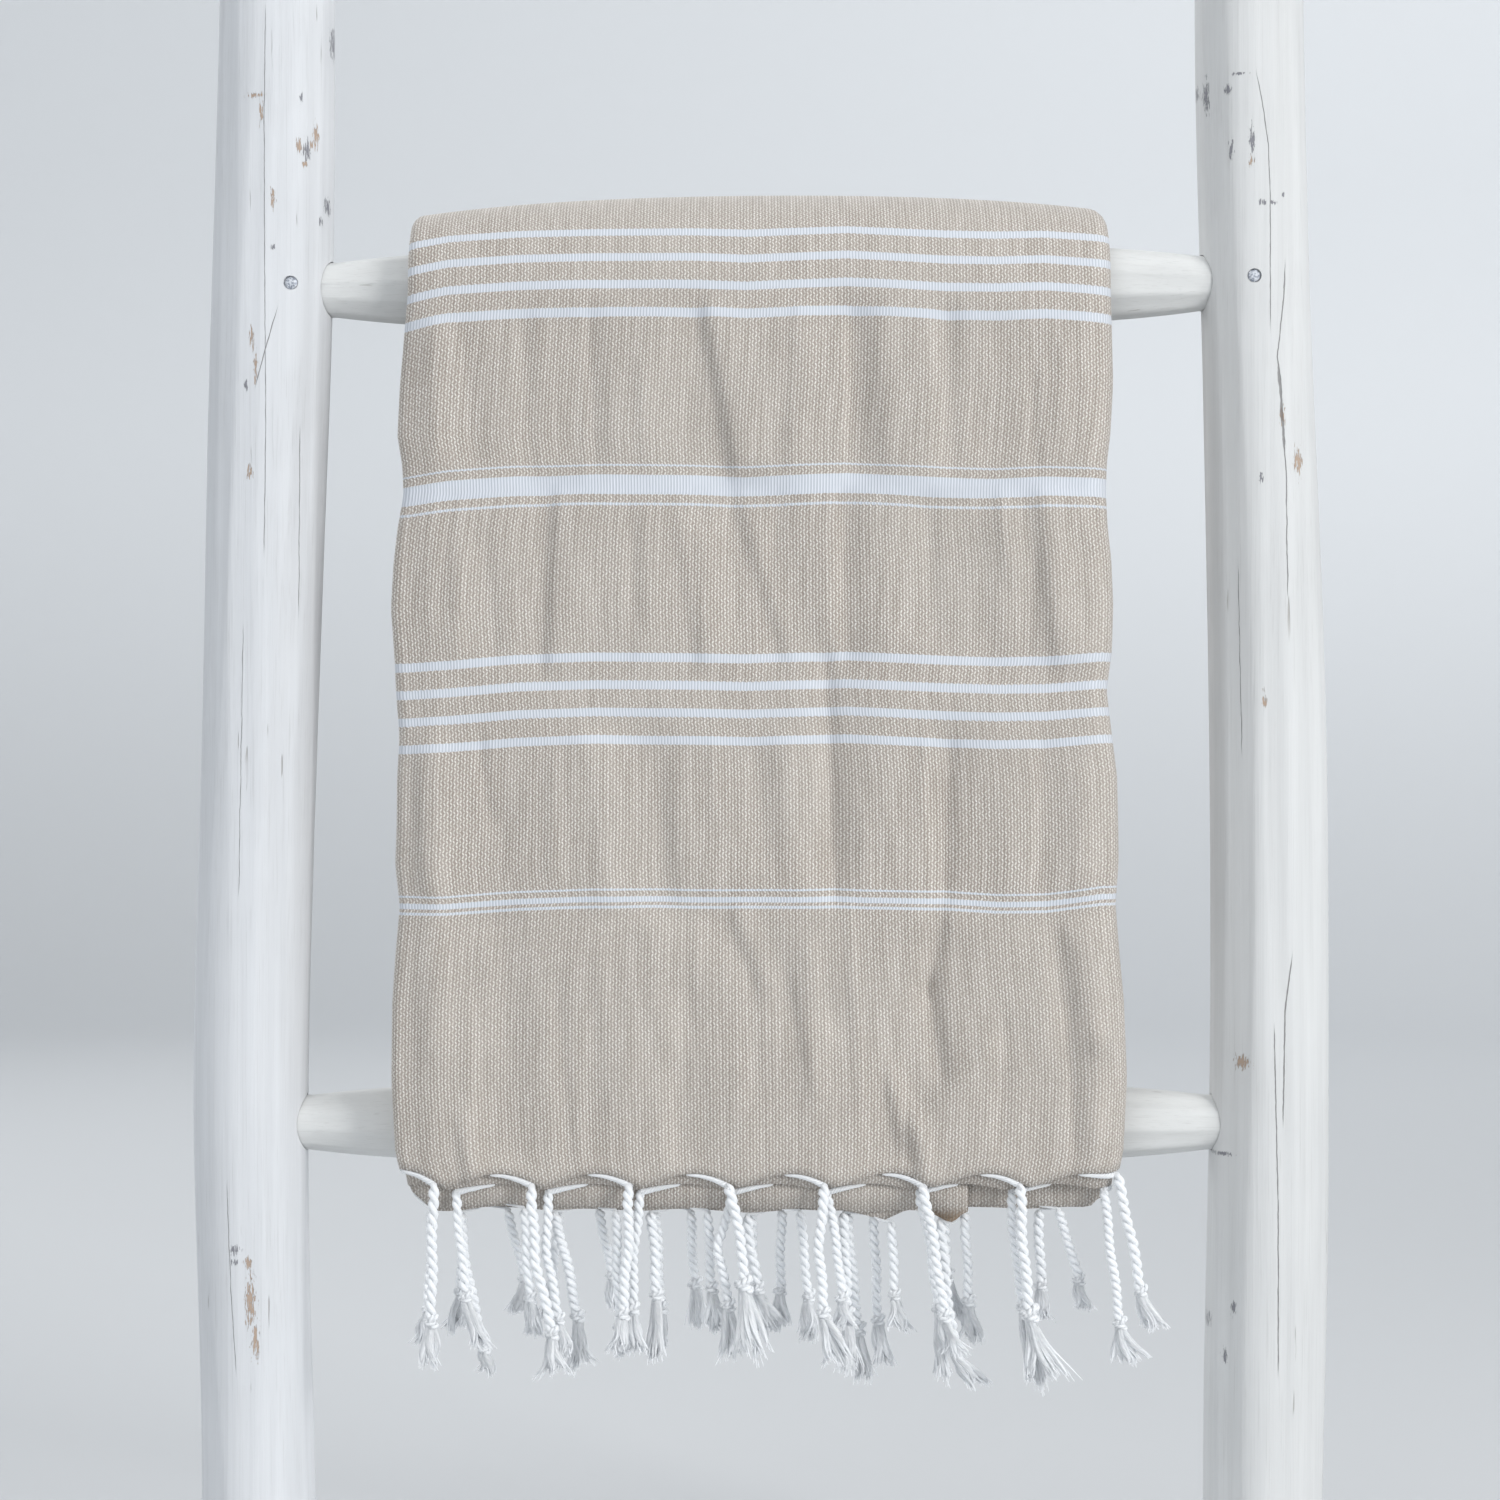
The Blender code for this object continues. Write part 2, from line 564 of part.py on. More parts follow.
def towel_rows(columns):
    """The towel's points, row by row, from the outer hem over the rung, round and back again."""
    over = [math.pi * k / RUNG_TURN_STEPS for k in range(1, RUNG_TURN_STEPS)]
    around = [math.pi * k / BOTTOM_TURN_STEPS for k in range(1, BOTTOM_TURN_STEPS)]
    rows = [[front_point(u, 0, s) for u in columns] for s in reversed(FRONT_STATIONS)]
    rows += [[rung_point(u, 0, turn) for u in columns] for turn in over]
    rows += [[back_point(u, 0, s) for u in columns] for s in BACK_STATIONS]
    rows += [[bottom_point(u, turn) for u in columns] for turn in around]
    rows += [[back_point(u, 1, s) for u in columns] for s in reversed(BACK_STATIONS)]
    rows += [[rung_point(u, 1, turn) for u in columns] for turn in reversed(over)]
    rows += [[front_point(u, 1, s) for u in columns] for s in HIDDEN_STATIONS]
    return rows


def sheet(name, rows, target, finish):
    """A flat grid whose points are moved to the rows' places, thickened to the cloth's thickness."""
    across_count = len(rows[0])
    bm = bmesh.new()
    bmesh.ops.create_grid(bm, x_segments=across_count - 1, y_segments=len(rows) - 1, size=1.0)
    bm.verts.ensure_lookup_table()
    for index, vert in enumerate(bm.verts):
        vert.co = rows[index // across_count][index % across_count]
    obj = mesh_object(name, bm, target, finish)
    thicken = obj.modifiers.new("thickness", "SOLIDIFY")
    thicken.thickness = CLOTH
    thicken.offset = 0.0
    obj.data.shade_smooth()
    return obj


# ---------------------------------------------------------------- the fringe
def strip_rows(columns, half):
    """The narrow strip that holds the tassels, just under the hem of one half of the cloth."""
    hem = [front_point(u, half, 1.0) for u in columns]
    top = [(x, y, z - FIT) for x, y, z in hem]
    bottom = [(x, y, z - STRIP_HEIGHT) for x, y, z in top]
    return [top, bottom]


def on_strip(columns, row, u):
    """The point at u on a row of the strip, whose columns are joined by straight lines."""
    return [float(np.interp(u, columns, [point[axis] for point in row])) for axis in range(3)]


def tassel_rings(hang):
    """A tassel's rings: a thin root, a twisted rope, a knot and a brush that spreads."""
    rings = [Ring(0.0, 0.0014, 0.0005, 0.0)]
    last = hang.knot_drop - KNOT_HALF_LENGTH
    for k in range(ROPE_RINGS):
        drop = blend(ROPE_START, last, k / (ROPE_RINGS - 1))
        rings.append(Ring(drop, ROPE_RADIUS, ROPE_RADIUS, ROPE_TURN * k))
    turn = ROPE_TURN * (ROPE_RINGS - ROPE_RINGS % 2)
    rings.append(Ring(hang.knot_drop, KNOT_RADIUS, KNOT_HALF_DEPTH, turn))
    neck = hang.knot_drop + KNOT_HALF_LENGTH
    rings.append(Ring(neck, BRUSH_NECK, BRUSH_NECK, turn))
    middle = blend(neck, hang.tip_drop, 0.6)
    rings.append(Ring(middle, 0.8 * hang.spread, BRUSH_HALF_DEPTH, turn))
    rings.append(Ring(hang.tip_drop, hang.spread, BRUSH_END_DEPTH, turn))
    return rings


def hang_shift(hang, drop):
    """How far sideways a tassel lies at a drop below its root."""
    drops = (0.0, hang.knot_drop / 2, hang.knot_drop, hang.tip_drop)
    return float(np.interp(drop, drops, (0.0, hang.bend, hang.knot, hang.tip)))


def add_tassel(bm, root, hang, lean):
    """Lofts one tassel, four-sided, down from its root."""
    loops = []
    for ring in tassel_rings(hang):
        x = root[0] + hang_shift(hang, ring.drop)
        forward = lean.start * smoothstep(ring.drop / LEAN_REACH)
        forward += (lean.end - lean.start) * ring.drop / hang.tip_drop
        corners = []
        for side in range(4):
            angle = ring.turn + math.radians(90) * side
            out_x = ring.half_width * math.cos(angle)
            out_y = ring.half_depth * math.sin(angle)
            corners.append(bm.verts.new((x + out_x, root[1] - forward + out_y, root[2] - ring.drop)))
        loops.append(corners)
    for upper, lower in zip(loops, loops[1:]):
        for side in range(4):
            after = (side + 1) % 4
            bm.faces.new((upper[side], upper[after], lower[after], lower[side]))
    bm.faces.new(loops[0])
    bm.faces.new(reversed(loops[-1]))


def layer_of(index, half):
    """The layer that tassel number index hangs from."""
    if index < FIRST_FRONT_TASSEL:
        return 2 + half
    if index < FIRST_RIGHT_TASSEL:
        return TOP_LEVEL - half
    return half


def make_fringe(name, columns, half, row, hangs, target, finish):
    """The strip under one hem, with its tassels fused to it."""
    rows = strip_rows(columns, half)
    strip = sheet(name, rows, target, finish)
    bm = bmesh.new()
    for index, hang in enumerate(hangs):
        u = row.first + (index - FIRST_FRONT_TASSEL) * row.spacing
        x, y, z = on_strip(columns, rows[0], u)
        add_tassel(bm, (x, y, z - ROOT_DEPTH), hang, LEANS[layer_of(index, half)])
    tassels = mesh_object(name + " tassels", bm, CUTTERS, finish)
    tassels.hide_render = True
    tassels.display_type = "WIRE"
    join = strip.modifiers.new("join tassels", "BOOLEAN")
    join.operation = "UNION"
    join.solver = "EXACT"
    join.object = tassels
    return strip


# ---------------------------------------------------------------- the object
clear_scene()
PART = collection("Hammam towel on a ladder")
CUTTERS = collection("Cutters and helpers")

PAINTED_WOOD = material("painted wood", (0.72, 0.73, 0.73), 0.62)
STEEL = material("nail steel", (0.42, 0.43, 0.45), 0.5, 0.8)
COTTON = material("beige cotton", (0.50, 0.46, 0.40), 0.9)
WHITE_COTTON = material("white cotton", (0.76, 0.78, 0.81), 0.9)

left_rail = make_rail("rail_left", LEFT_RAIL, PART, PAINTED_WOOD)
right_rail = make_rail("rail_right", RIGHT_RAIL, PART, PAINTED_WOOD)
cut_sockets(left_rail, -1)
cut_sockets(right_rail, 1)
upper_rung = make_rung(UPPER_RUNG, PART, PAINTED_WOOD)
make_rung(LOWER_RUNG, PART, PAINTED_WOOD)
for nail, rail in ((LEFT_NAIL, left_rail), (RIGHT_NAIL, right_rail)):
    make_nail(nail, PART, STEEL)
    cut_nail_hole(nail, rail, upper_rung)

COLUMNS = towel_columns()
sheet("towel", towel_rows(COLUMNS), PART, COTTON)
make_fringe("fringe_outer", COLUMNS, 0, OUTER_ROW, OUTER_HANGS, PART, WHITE_COTTON)
make_fringe("fringe_inner", COLUMNS, 1, INNER_ROW, INNER_HANGS, PART, WHITE_COTTON)
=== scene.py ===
"""The look of a hammam towel that hangs, folded, over a rung of a white-painted pole ladder."""

import math
import random
from collections import namedtuple

import bmesh
import bpy
import numpy as np
from mathutils import Matrix, Vector


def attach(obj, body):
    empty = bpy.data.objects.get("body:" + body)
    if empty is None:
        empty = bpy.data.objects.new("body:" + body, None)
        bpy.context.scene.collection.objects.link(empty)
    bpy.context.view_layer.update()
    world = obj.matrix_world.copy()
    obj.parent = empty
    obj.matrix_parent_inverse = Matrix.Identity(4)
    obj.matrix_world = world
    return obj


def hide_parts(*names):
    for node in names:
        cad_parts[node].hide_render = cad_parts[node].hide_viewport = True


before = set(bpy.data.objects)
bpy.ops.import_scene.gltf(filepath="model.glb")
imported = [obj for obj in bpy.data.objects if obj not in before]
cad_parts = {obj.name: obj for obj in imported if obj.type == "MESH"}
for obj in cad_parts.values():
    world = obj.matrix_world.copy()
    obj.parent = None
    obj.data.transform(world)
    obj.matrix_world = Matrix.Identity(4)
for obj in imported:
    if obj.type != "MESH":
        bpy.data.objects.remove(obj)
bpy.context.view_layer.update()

# ---------------------------------------------------------------- camera
# The photograph's frame is square. At the towel's front it takes in this much, seen level.
FRAME_WIDTH = 0.6975
TOWEL_FRONT = -0.037
CAMERA_DISTANCE = 1.5
CAMERA_X = -0.0050
CAMERA_HEIGHT = 0.438
SENSOR = 36.0

camera_data = bpy.data.cameras.new("camera")
camera = bpy.data.objects.new("camera", camera_data)
bpy.context.scene.collection.objects.link(camera)
bpy.context.scene.camera = camera
camera.location = (CAMERA_X, TOWEL_FRONT - CAMERA_DISTANCE, CAMERA_HEIGHT)
camera.rotation_euler = (math.radians(90), 0.0, 0.0)
camera_data.sensor_width = SENSOR
camera_data.lens = SENSOR * CAMERA_DISTANCE / FRAME_WIDTH
bpy.context.scene.view_settings.view_transform = "Standard"


def table(kind, *rows):
    """Rows of sizes given in tenths of a millimetre, made metres under the names of their columns."""
    return tuple(kind(*(value / 10000 for value in row)) for row in rows)


# ---------------------------------------------------------------- sizes shared with the solids
LADDER_Y = 0.007
FIT = 0.0003

# A rail's middle and radius at a height: the control points of a spline.
Section = namedtuple("Section", "height x radius")
LEFT_RAIL = table(
    Section,
    (0, -2395, 272),
    (800, -2395, 270),
    (1460, -2413, 263),
    (2180, -2434, 267),
    (2900, -2442, 277),
    (4330, -2399, 272),
    (5760, -2361, 286),
    (6600, -2332, 291),
    (7700, -2311, 277),
    (8300, -2311, 268),
)
RIGHT_RAIL = table(
    Section,
    (0, 2402, 280),
    (800, 2402, 284),
    (1460, 2413, 289),
    (2180, 2430, 287),
    (2900, 2433, 281),
    (4330, 2434, 282),
    (5760, 2396, 268),
    (6600, 2368, 258),
    (7700, 2336, 262),
    (8300, 2336, 254),
)
Rung = namedtuple("Rung", "name height centre half tilt")
UPPER_RUNG = Rung("rung_upper", 0.6597, 0.0035, 0.2062, 0.0076)
LOWER_RUNG = Rung("rung_lower", 0.2601, -0.0012, 0.2140, 0.0)
RUNG_MIDDLE_RADIUS = 0.0200
RUNG_END_RADIUS = 0.0132
RUNG_BARREL_POWER = 4
TENON_DEPTH = 0.032

Nail = namedtuple("Nail", "name x seat")
LEFT_NAIL = Nail("nail_left", -0.2212, 0.0242)
RIGHT_NAIL = Nail("nail_right", 0.2325, 0.0243)
NAIL_SEAT_RADIUS = 0.0033
NAIL_SHANK_RADIUS = 0.0016
# Depths from the rails' middle: where cuts start, where the rail's hole ends, and where a nail ends.
BEFORE_RAIL = 0.045
BEFORE_RUNG = 0.030
SHANK_HOLE_END = 0.006
NAIL_END = 0.0119

TOWEL_WIDTH = 0.920
TOWEL_LENGTH = 1.800
CLOTH = 0.0014
LEFT_BACK = 0.2597
LEFT_FRONT = 0.2734
RIGHT_FRONT = 0.5945
RIGHT_BACK = 0.6173
LEFT_TIP = (LEFT_BACK + LEFT_FRONT) / 2
RIGHT_TIP = (RIGHT_FRONT + RIGHT_BACK) / 2
LEFT_FOLD = 1.5
RIGHT_FOLD = 2.5
LEFT_FOLD_LEVEL = 3.5
RIGHT_FOLD_LEVEL = 2.5
TOP_LEVEL = 5

RUNG_CLEARANCE = 0.0006
PITCH_ON_RUNG_EDGE = 0.0030
PITCH_ON_RUNG_MIDDLE = 0.0042
PITCH_FLAP = 0.0032
PITCH_HEM = 0.0027
FLAP_DEPTH = 0.0228
HEM_DEPTH = 0.0278
# The shares of the way down at which the pitch and depth have left the rung's, and head for the hem's.
PITCH_SETTLED = 0.35
DEPTH_SETTLED = 0.3
BACK_PITCH_SETTLED = 0.5
HEM_SHARE = 0.6
FIRM_LEVEL = 3
HALF_SPAN = 0.168
BACK_BOTTOM = 0.311
BACK_SLANT = 0.10

# The towel's left and right edge at a height.
Edge = namedtuple("Edge", "height left right")
OUTLINE = table(
    Edge,
    (2374, -1668, 1662),
    (2500, -1700, 1690),
    (2840, -1719, 1708),
    (3200, -1716, 1695),
    (3420, -1702, 1675),
    (3654, -1682, 1657),
    (3850, -1704, 1672),
    (4003, -1698, 1671),
    (4250, -1695, 1665),
    (4450, -1684, 1640),
    (4654, -1700, 1615),
    (4830, -1708, 1640),
    (5049, -1724, 1647),
    (5260, -1712, 1638),
    (5420, -1694, 1620),
    (5584, -1666, 1612),
    (5720, -1672, 1618),
    (5863, -1696, 1636),
    (6100, -1686, 1650),
    (6540, -1650, 1640),
)

HEM = 0.2374
HEM_DIP = 0.0026
HEM_INNER_DROP = 0.0018
HEM_ARCH = 0.0064
HEM_INNER_ARCH = 0.0030
HEM_ARCH_SHIFT = 0.10
HEM_INNER_ARCH_SHIFT = 0.06
HEM_ARCH_LEAN = 1.25
HEM_SIDE_DROP = 0.0152
HEM_SIDE_REACH = 0.018
HEM_SIDE_ARCH = 0.0012
HEM_SIDE_INNER_RISE = 0.0015
HEM_CORNER_LIFT = 0.0080
HEM_INNER_CORNER_LIFT = 0.0020
HEM_CORNER_REACH = 0.022
FREE_CORNER_DROP = 0.0095
FREE_CORNER_REACH = 0.022
FREE_CORNER_ROUND = 0.010
FREE_CORNER_TIP = 0.15
# Where the hidden left third's hem hangs lower: its place, its reach to both sides and its depth.
HemDip = namedtuple("HemDip", "u before after drop")
HEM_DIPS = table(
    HemDip,
    (370, 90, 230, 56),
    (960, 200, 250, 14),
    (2180, 300, 160, -18),
    (8020, 240, 200, 12),
)

# Broad troughs in the swell of the hanging cloth.
Trough = namedtuple("Trough", "top bottom x_top x_bottom half_width depth")
SWELL = 0.0036
SWELL_SIDE = 0.018
SWELL_TOP = 0.640
SWELL_BOTTOM = 0.245
SWELL_FADE = 0.035
TROUGH_FADE = 0.020
TROUGH_LIMIT = 0.0006
TROUGHS = table(
    Trough,
    (6350, 5650, -1000, -960, 140, 22),
    (6400, 5700, -280, -190, 170, 42),
    (6400, 5680, 420, 430, 150, 26),
    (6300, 5600, 1100, 1080, 150, 26),
    (5520, 4840, -980, -1000, 150, 26),
    (5520, 4900, -70, 120, 150, 34),
    (5500, 4840, 900, 1000, 160, 36),
    (4380, 3720, -1260, -1240, 150, 24),
    (4380, 3720, -520, -480, 150, 24),
    (4800, 3900, 350, 370, 140, 36),
    (4380, 3750, 860, 840, 150, 26),
    (3580, 3180, -180, 200, 180, 34),
    (3420, 2500, 820, 620, 170, 42),
    (3580, 3200, 1380, 1500, 160, 30),
)
# Finer creases. Each is a ridge, or with a rise below zero a valley, that runs from its top to its
# bottom and is as wide as left and right say on its two sides.
Crease = namedtuple("Crease", "top bottom x_top x_bottom left right rise")
CREASES = table(
    Crease,
    # between the upper stripes and the thick band
    (6380, 5740, -1540, -1520, 120, 60, 10),
    (6380, 5740, -1040, -1020, 30, 80, 10),
    (6380, 5740, -800, -770, 30, 70, -18),
    (6400, 5720, -230, -100, 40, 140, 34),
    (6400, 5740, 180, 140, 30, 90, 13),
    (6380, 5740, 430, 420, 30, 100, -16),
    (6380, 5740, 870, 880, 60, 60, -28),
    (6100, 5740, 1310, 1330, 30, 80, 16),
    # between the thick band and the middle stripes
    (5480, 4840, -1410, -1400, 80, 40, 9),
    (5520, 4800, -930, -960, 40, 160, 30),
    (5450, 4840, -550, -560, 30, 80, 8),
    (5400, 4840, -370, -270, 30, 80, 11),
    (5520, 4840, -80, 140, 40, 90, 22),
    (5520, 5200, 80, 40, 20, 40, -9),
    (5520, 4840, 380, 400, 30, 90, -24),
    (5500, 4960, 770, 810, 100, 50, -16),
    (5520, 5240, 1120, 1150, 30, 70, 15),
    (5520, 4840, 1320, 1400, 50, 160, 32),
    # between the middle stripes and the lower ones
    (4400, 3740, -1520, -1520, 100, 60, 22),
    (4400, 4160, -1250, -1250, 30, 80, 10),
    (4400, 3720, -810, -730, 90, 140, 26),
    (4380, 4100, -230, -220, 20, 60, 7),
    (4380, 3760, 120, 160, 80, 60, 12),
    (4760, 3740, 300, 340, 50, 50, -34),
    (4380, 3740, 770, 780, 30, 80, 18),
    (4380, 3740, 880, 860, 50, 40, -18),
    (4380, 3740, 1310, 1300, 30, 80, -16),
    # below the lower stripes
    (3590, 3000, -1490, -1490, 100, 60, 12),
    (3570, 2520, -1220, -1160, 200, 130, -28),
    (3540, 3000, -510, -410, 80, 100, 16),
    (3580, 2600, -300, -300, 20, 30, 5),
    (3580, 3300, -100, 20, 40, 80, 24),
    (3320, 2800, 160, 270, 30, 70, 14),
    (3420, 3060, 230, 290, 60, 40, 18),
    (3580, 2800, 410, 460, 20, 30, 9),
    (3580, 3270, 840, 790, 60, 40, -28),
    (3260, 2900, 790, 840, 60, 40, -26),
    (3520, 3040, 1450, 1580, 70, 140, 32),
    (3030, 2580, 1580, 1580, 70, 140, 28),
    (2820, 2600, 610, 660, 30, 60, 28),
    (2640, 2440, 710, 760, 30, 60, 28),
    (2960, 2640, 1040, 730, 40, 70, 22),
    (2620, 2420, -1390, -1350, 30, 80, 16),
    (2900, 2440, -100, -80, 80, 60, 11),
)
CREASE_FADE = 0.012
CREASE_SIDE = 0.012
CREASE_STRENGTH = 1.3
RIPPLE = 0.0005
Zone = namedtuple("Zone", "top bottom")
PLAIN_ZONES = (Zone(0.638, 0.574), Zone(0.552, 0.484), Zone(0.438, 0.374), Zone(0.358, 0.250))
BACK_ZONES = (Zone(0.640, 0.500), Zone(0.560, 0.400), Zone(0.480, 0.330))
FRONT_SEED = 3
BACK_SEED = 5
# The chance creases in each zone: how many, and between which sizes they lie. Heights are shares.
SMALL_CREASES = 16
SMALL_TOP = (0, 0.45)
SMALL_LENGTH = (0.4, 1.0)
SMALL_X = (-0.160, 0.160)
SMALL_SLANT = (-0.003, 0.006)
SMALL_LEFT = (0.0025, 0.006)
SMALL_RIGHT = (0.003, 0.009)
SMALL_RISE = (0.0005, 0.0012)
BACK_TROUGHS = table(
    Trough,
    (6400, 4800, -1100, -940, 130, 36),
    (6100, 3600, -400, -520, 150, 44),
    (6300, 5200, 200, 280, 120, 36),
    (5200, 3300, 520, 400, 140, 42),
    (6000, 4200, 1120, 1200, 130, 38),
    (4400, 3200, -1180, -1260, 120, 34),
    (4000, 3200, 1000, 920, 130, 34),
)
BACK_WAVE = 0.0016
BACK_SWELL_BOTTOM = 0.345
BACK_SWELL = 0.0042

# How far the woven stripes sag, at a place across the towel and at three heights.
Sag = namedtuple("Sag", "x top middle low")
STRIPE_SAGS = table(
    Sag,
    (-1648, 62, 51, 35),
    (-1462, 27, 40, 35),
    (-1137, 8, 12, 12),
    (-765, 3, 0, -2),
    (-300, 4, 4, 2),
    (-67, 13, 9, 2),
    (398, -8, -5, 2),
    (863, 15, 16, 12),
    (1096, 18, 23, 25),
    (1328, 8, 19, 23),
    (1584, 23, -2, -11),
)
SAG_HEIGHTS = (0.2374, 0.370, 0.460, 0.620)

FIRST_FRONT_TASSEL = 6
FIRST_RIGHT_TASSEL = 14
# Where the first tassel of the front third starts along the hem, and how far apart they are.
TasselRow = namedtuple("TasselRow", "first spacing")
OUTER_ROW = TasselRow(0.2842, 0.0452)
INNER_ROW = TasselRow(0.2938, 0.0430)
# A tassel: how far aside its bend, knot and tip lie, how far down its knot and tip hang, and how
# wide its brush spreads.
Hang = namedtuple("Hang", "bend knot tip knot_drop tip_drop spread")
OUTER_HANGS = table(
    Hang,
    (30, 70, 200, 630, 815, 60),
    (10, 18, 37, 490, 785, 40),
    (20, 50, 130, 355, 560, 50),
    (20, 28, 20, 400, 760, 45),
    (60, 110, 120, 500, 785, 55),
    (50, 120, 145, 640, 780, 40),
    (-2, -5, -14, 642, 870, 45),
    (20, 100, 105, 690, 900, 75),
    (-4, -28, -50, 600, 780, 40),
    (65, 79, 125, 465, 850, 110),
    (-26, -5, 77, 595, 850, 80),
    (59, 100, 160, 610, 810, 70),
    (14, 42, 135, 600, 930, 125),
    (61, 110, 175, 553, 740, 70),
    (5, 14, 30, 370, 560, 45),
    (10, 23, 80, 330, 550, 50),
    (25, 55, 83, 580, 850, 45),
    (10, 23, 50, 430, 640, 50),
    (15, 28, 10, 480, 700, 45),
    (-15, -33, -55, 370, 570, 50),
    (-4, -10, -45, 400, 620, 45),
)
INNER_HANGS = table(
    Hang,
    (6, 14, 46, 350, 530, 45),
    (20, 42, 33, 410, 620, 45),
    (8, 20, 50, 370, 600, 50),
    (8, 18, 32, 550, 700, 40),
    (14, 33, 50, 430, 620, 50),
    (-6, -14, -54, 470, 660, 45),
    (27, 53, 130, 498, 750, 55),
    (-4, 52, 77, 600, 790, 50),
    (-28, -37, -10, 550, 780, 40),
    (-70, -23, -14, 535, 810, 60),
    (50, 75, 90, 500, 660, 40),
    (56, 93, 123, 550, 910, 50),
    (14, 56, 118, 540, 960, 60),
    (36, 74, 126, 628, 825, 90),
    (60, 107, 126, 350, 510, 45),
    (8, 19, 39, 450, 660, 50),
    (10, 23, 51, 540, 770, 45),
    (-4, -9, -19, 400, 600, 50),
    (10, 23, 32, 360, 580, 45),
    (30, 60, 80, 330, 500, 50),
    (40, 80, 35, 340, 520, 45),
)
# How far forward a tassel stands at its root and at its tip, by the layer that its hem lies on.
Lean = namedtuple("Lean", "start end")
LEANS = {
    5: Lean(0.0031, 0.0090),
    4: Lean(0.0012, 0.0052),
    3: Lean(0.0002, 0.0014),
    2: Lean(-0.0006, -0.0022),
    1: Lean(-0.0014, -0.0058),
    0: Lean(-0.0022, -0.0094),
}
LEAN_REACH = 0.006


# ---------------------------------------------------------------- helpers
def smoothstep(amount):
    held = np.clip(amount, 0.0, 1.0)
    return held * held * (3 - 2 * held)


def blend(start, end, share):
    return start + (end - start) * share


def srgb(red, green, blue):
    """A colour given in 0 to 255 as the eye sees it, made linear."""
    def linear(value):
        share = value / 255
        return share / 12.92 if share <= 0.04045 else ((share + 0.055) / 1.055) ** 2.4
    return (linear(red), linear(green), linear(blue), 1.0)


def add_mesh(name, points, faces, finish, coordinates=None):
    """A mesh object. Coordinates are each point's place in the map that its material reads."""
    mesh = bpy.data.meshes.new(name)
    mesh.from_pydata([tuple(point) for point in points], [], faces)
    if coordinates is not None:
        layer = mesh.uv_layers.new(name="flat")
        corners = np.empty(len(mesh.loops), dtype=np.int32)
        mesh.loops.foreach_get("vertex_index", corners)
        layer.data.foreach_set("uv", np.asarray(coordinates, dtype=np.float32)[corners].ravel())
    obj = bpy.data.objects.new(name, mesh)
    bpy.context.scene.collection.objects.link(obj)
    mesh.materials.append(finish)
    mesh.shade_smooth()
    return obj


def grid_faces(rows, columns, closed=False):
    """Quads for a grid of points that runs row by row. Closed joins each row's end to its start."""
    faces = []
    last = columns if closed else columns - 1
    for row in range(rows - 1):
        for column in range(last):
            after = (column + 1) % columns
            low, high = row * columns, (row + 1) * columns
            faces.append((low + column, low + after, high + after, high + column))
    return faces


# ---------------------------------------------------------------- material graphs
def operation(name):
    """A method of Graph that makes a math node of the named kind."""
    def make(graph, *values):
        return graph.math(name, *values)
    return make


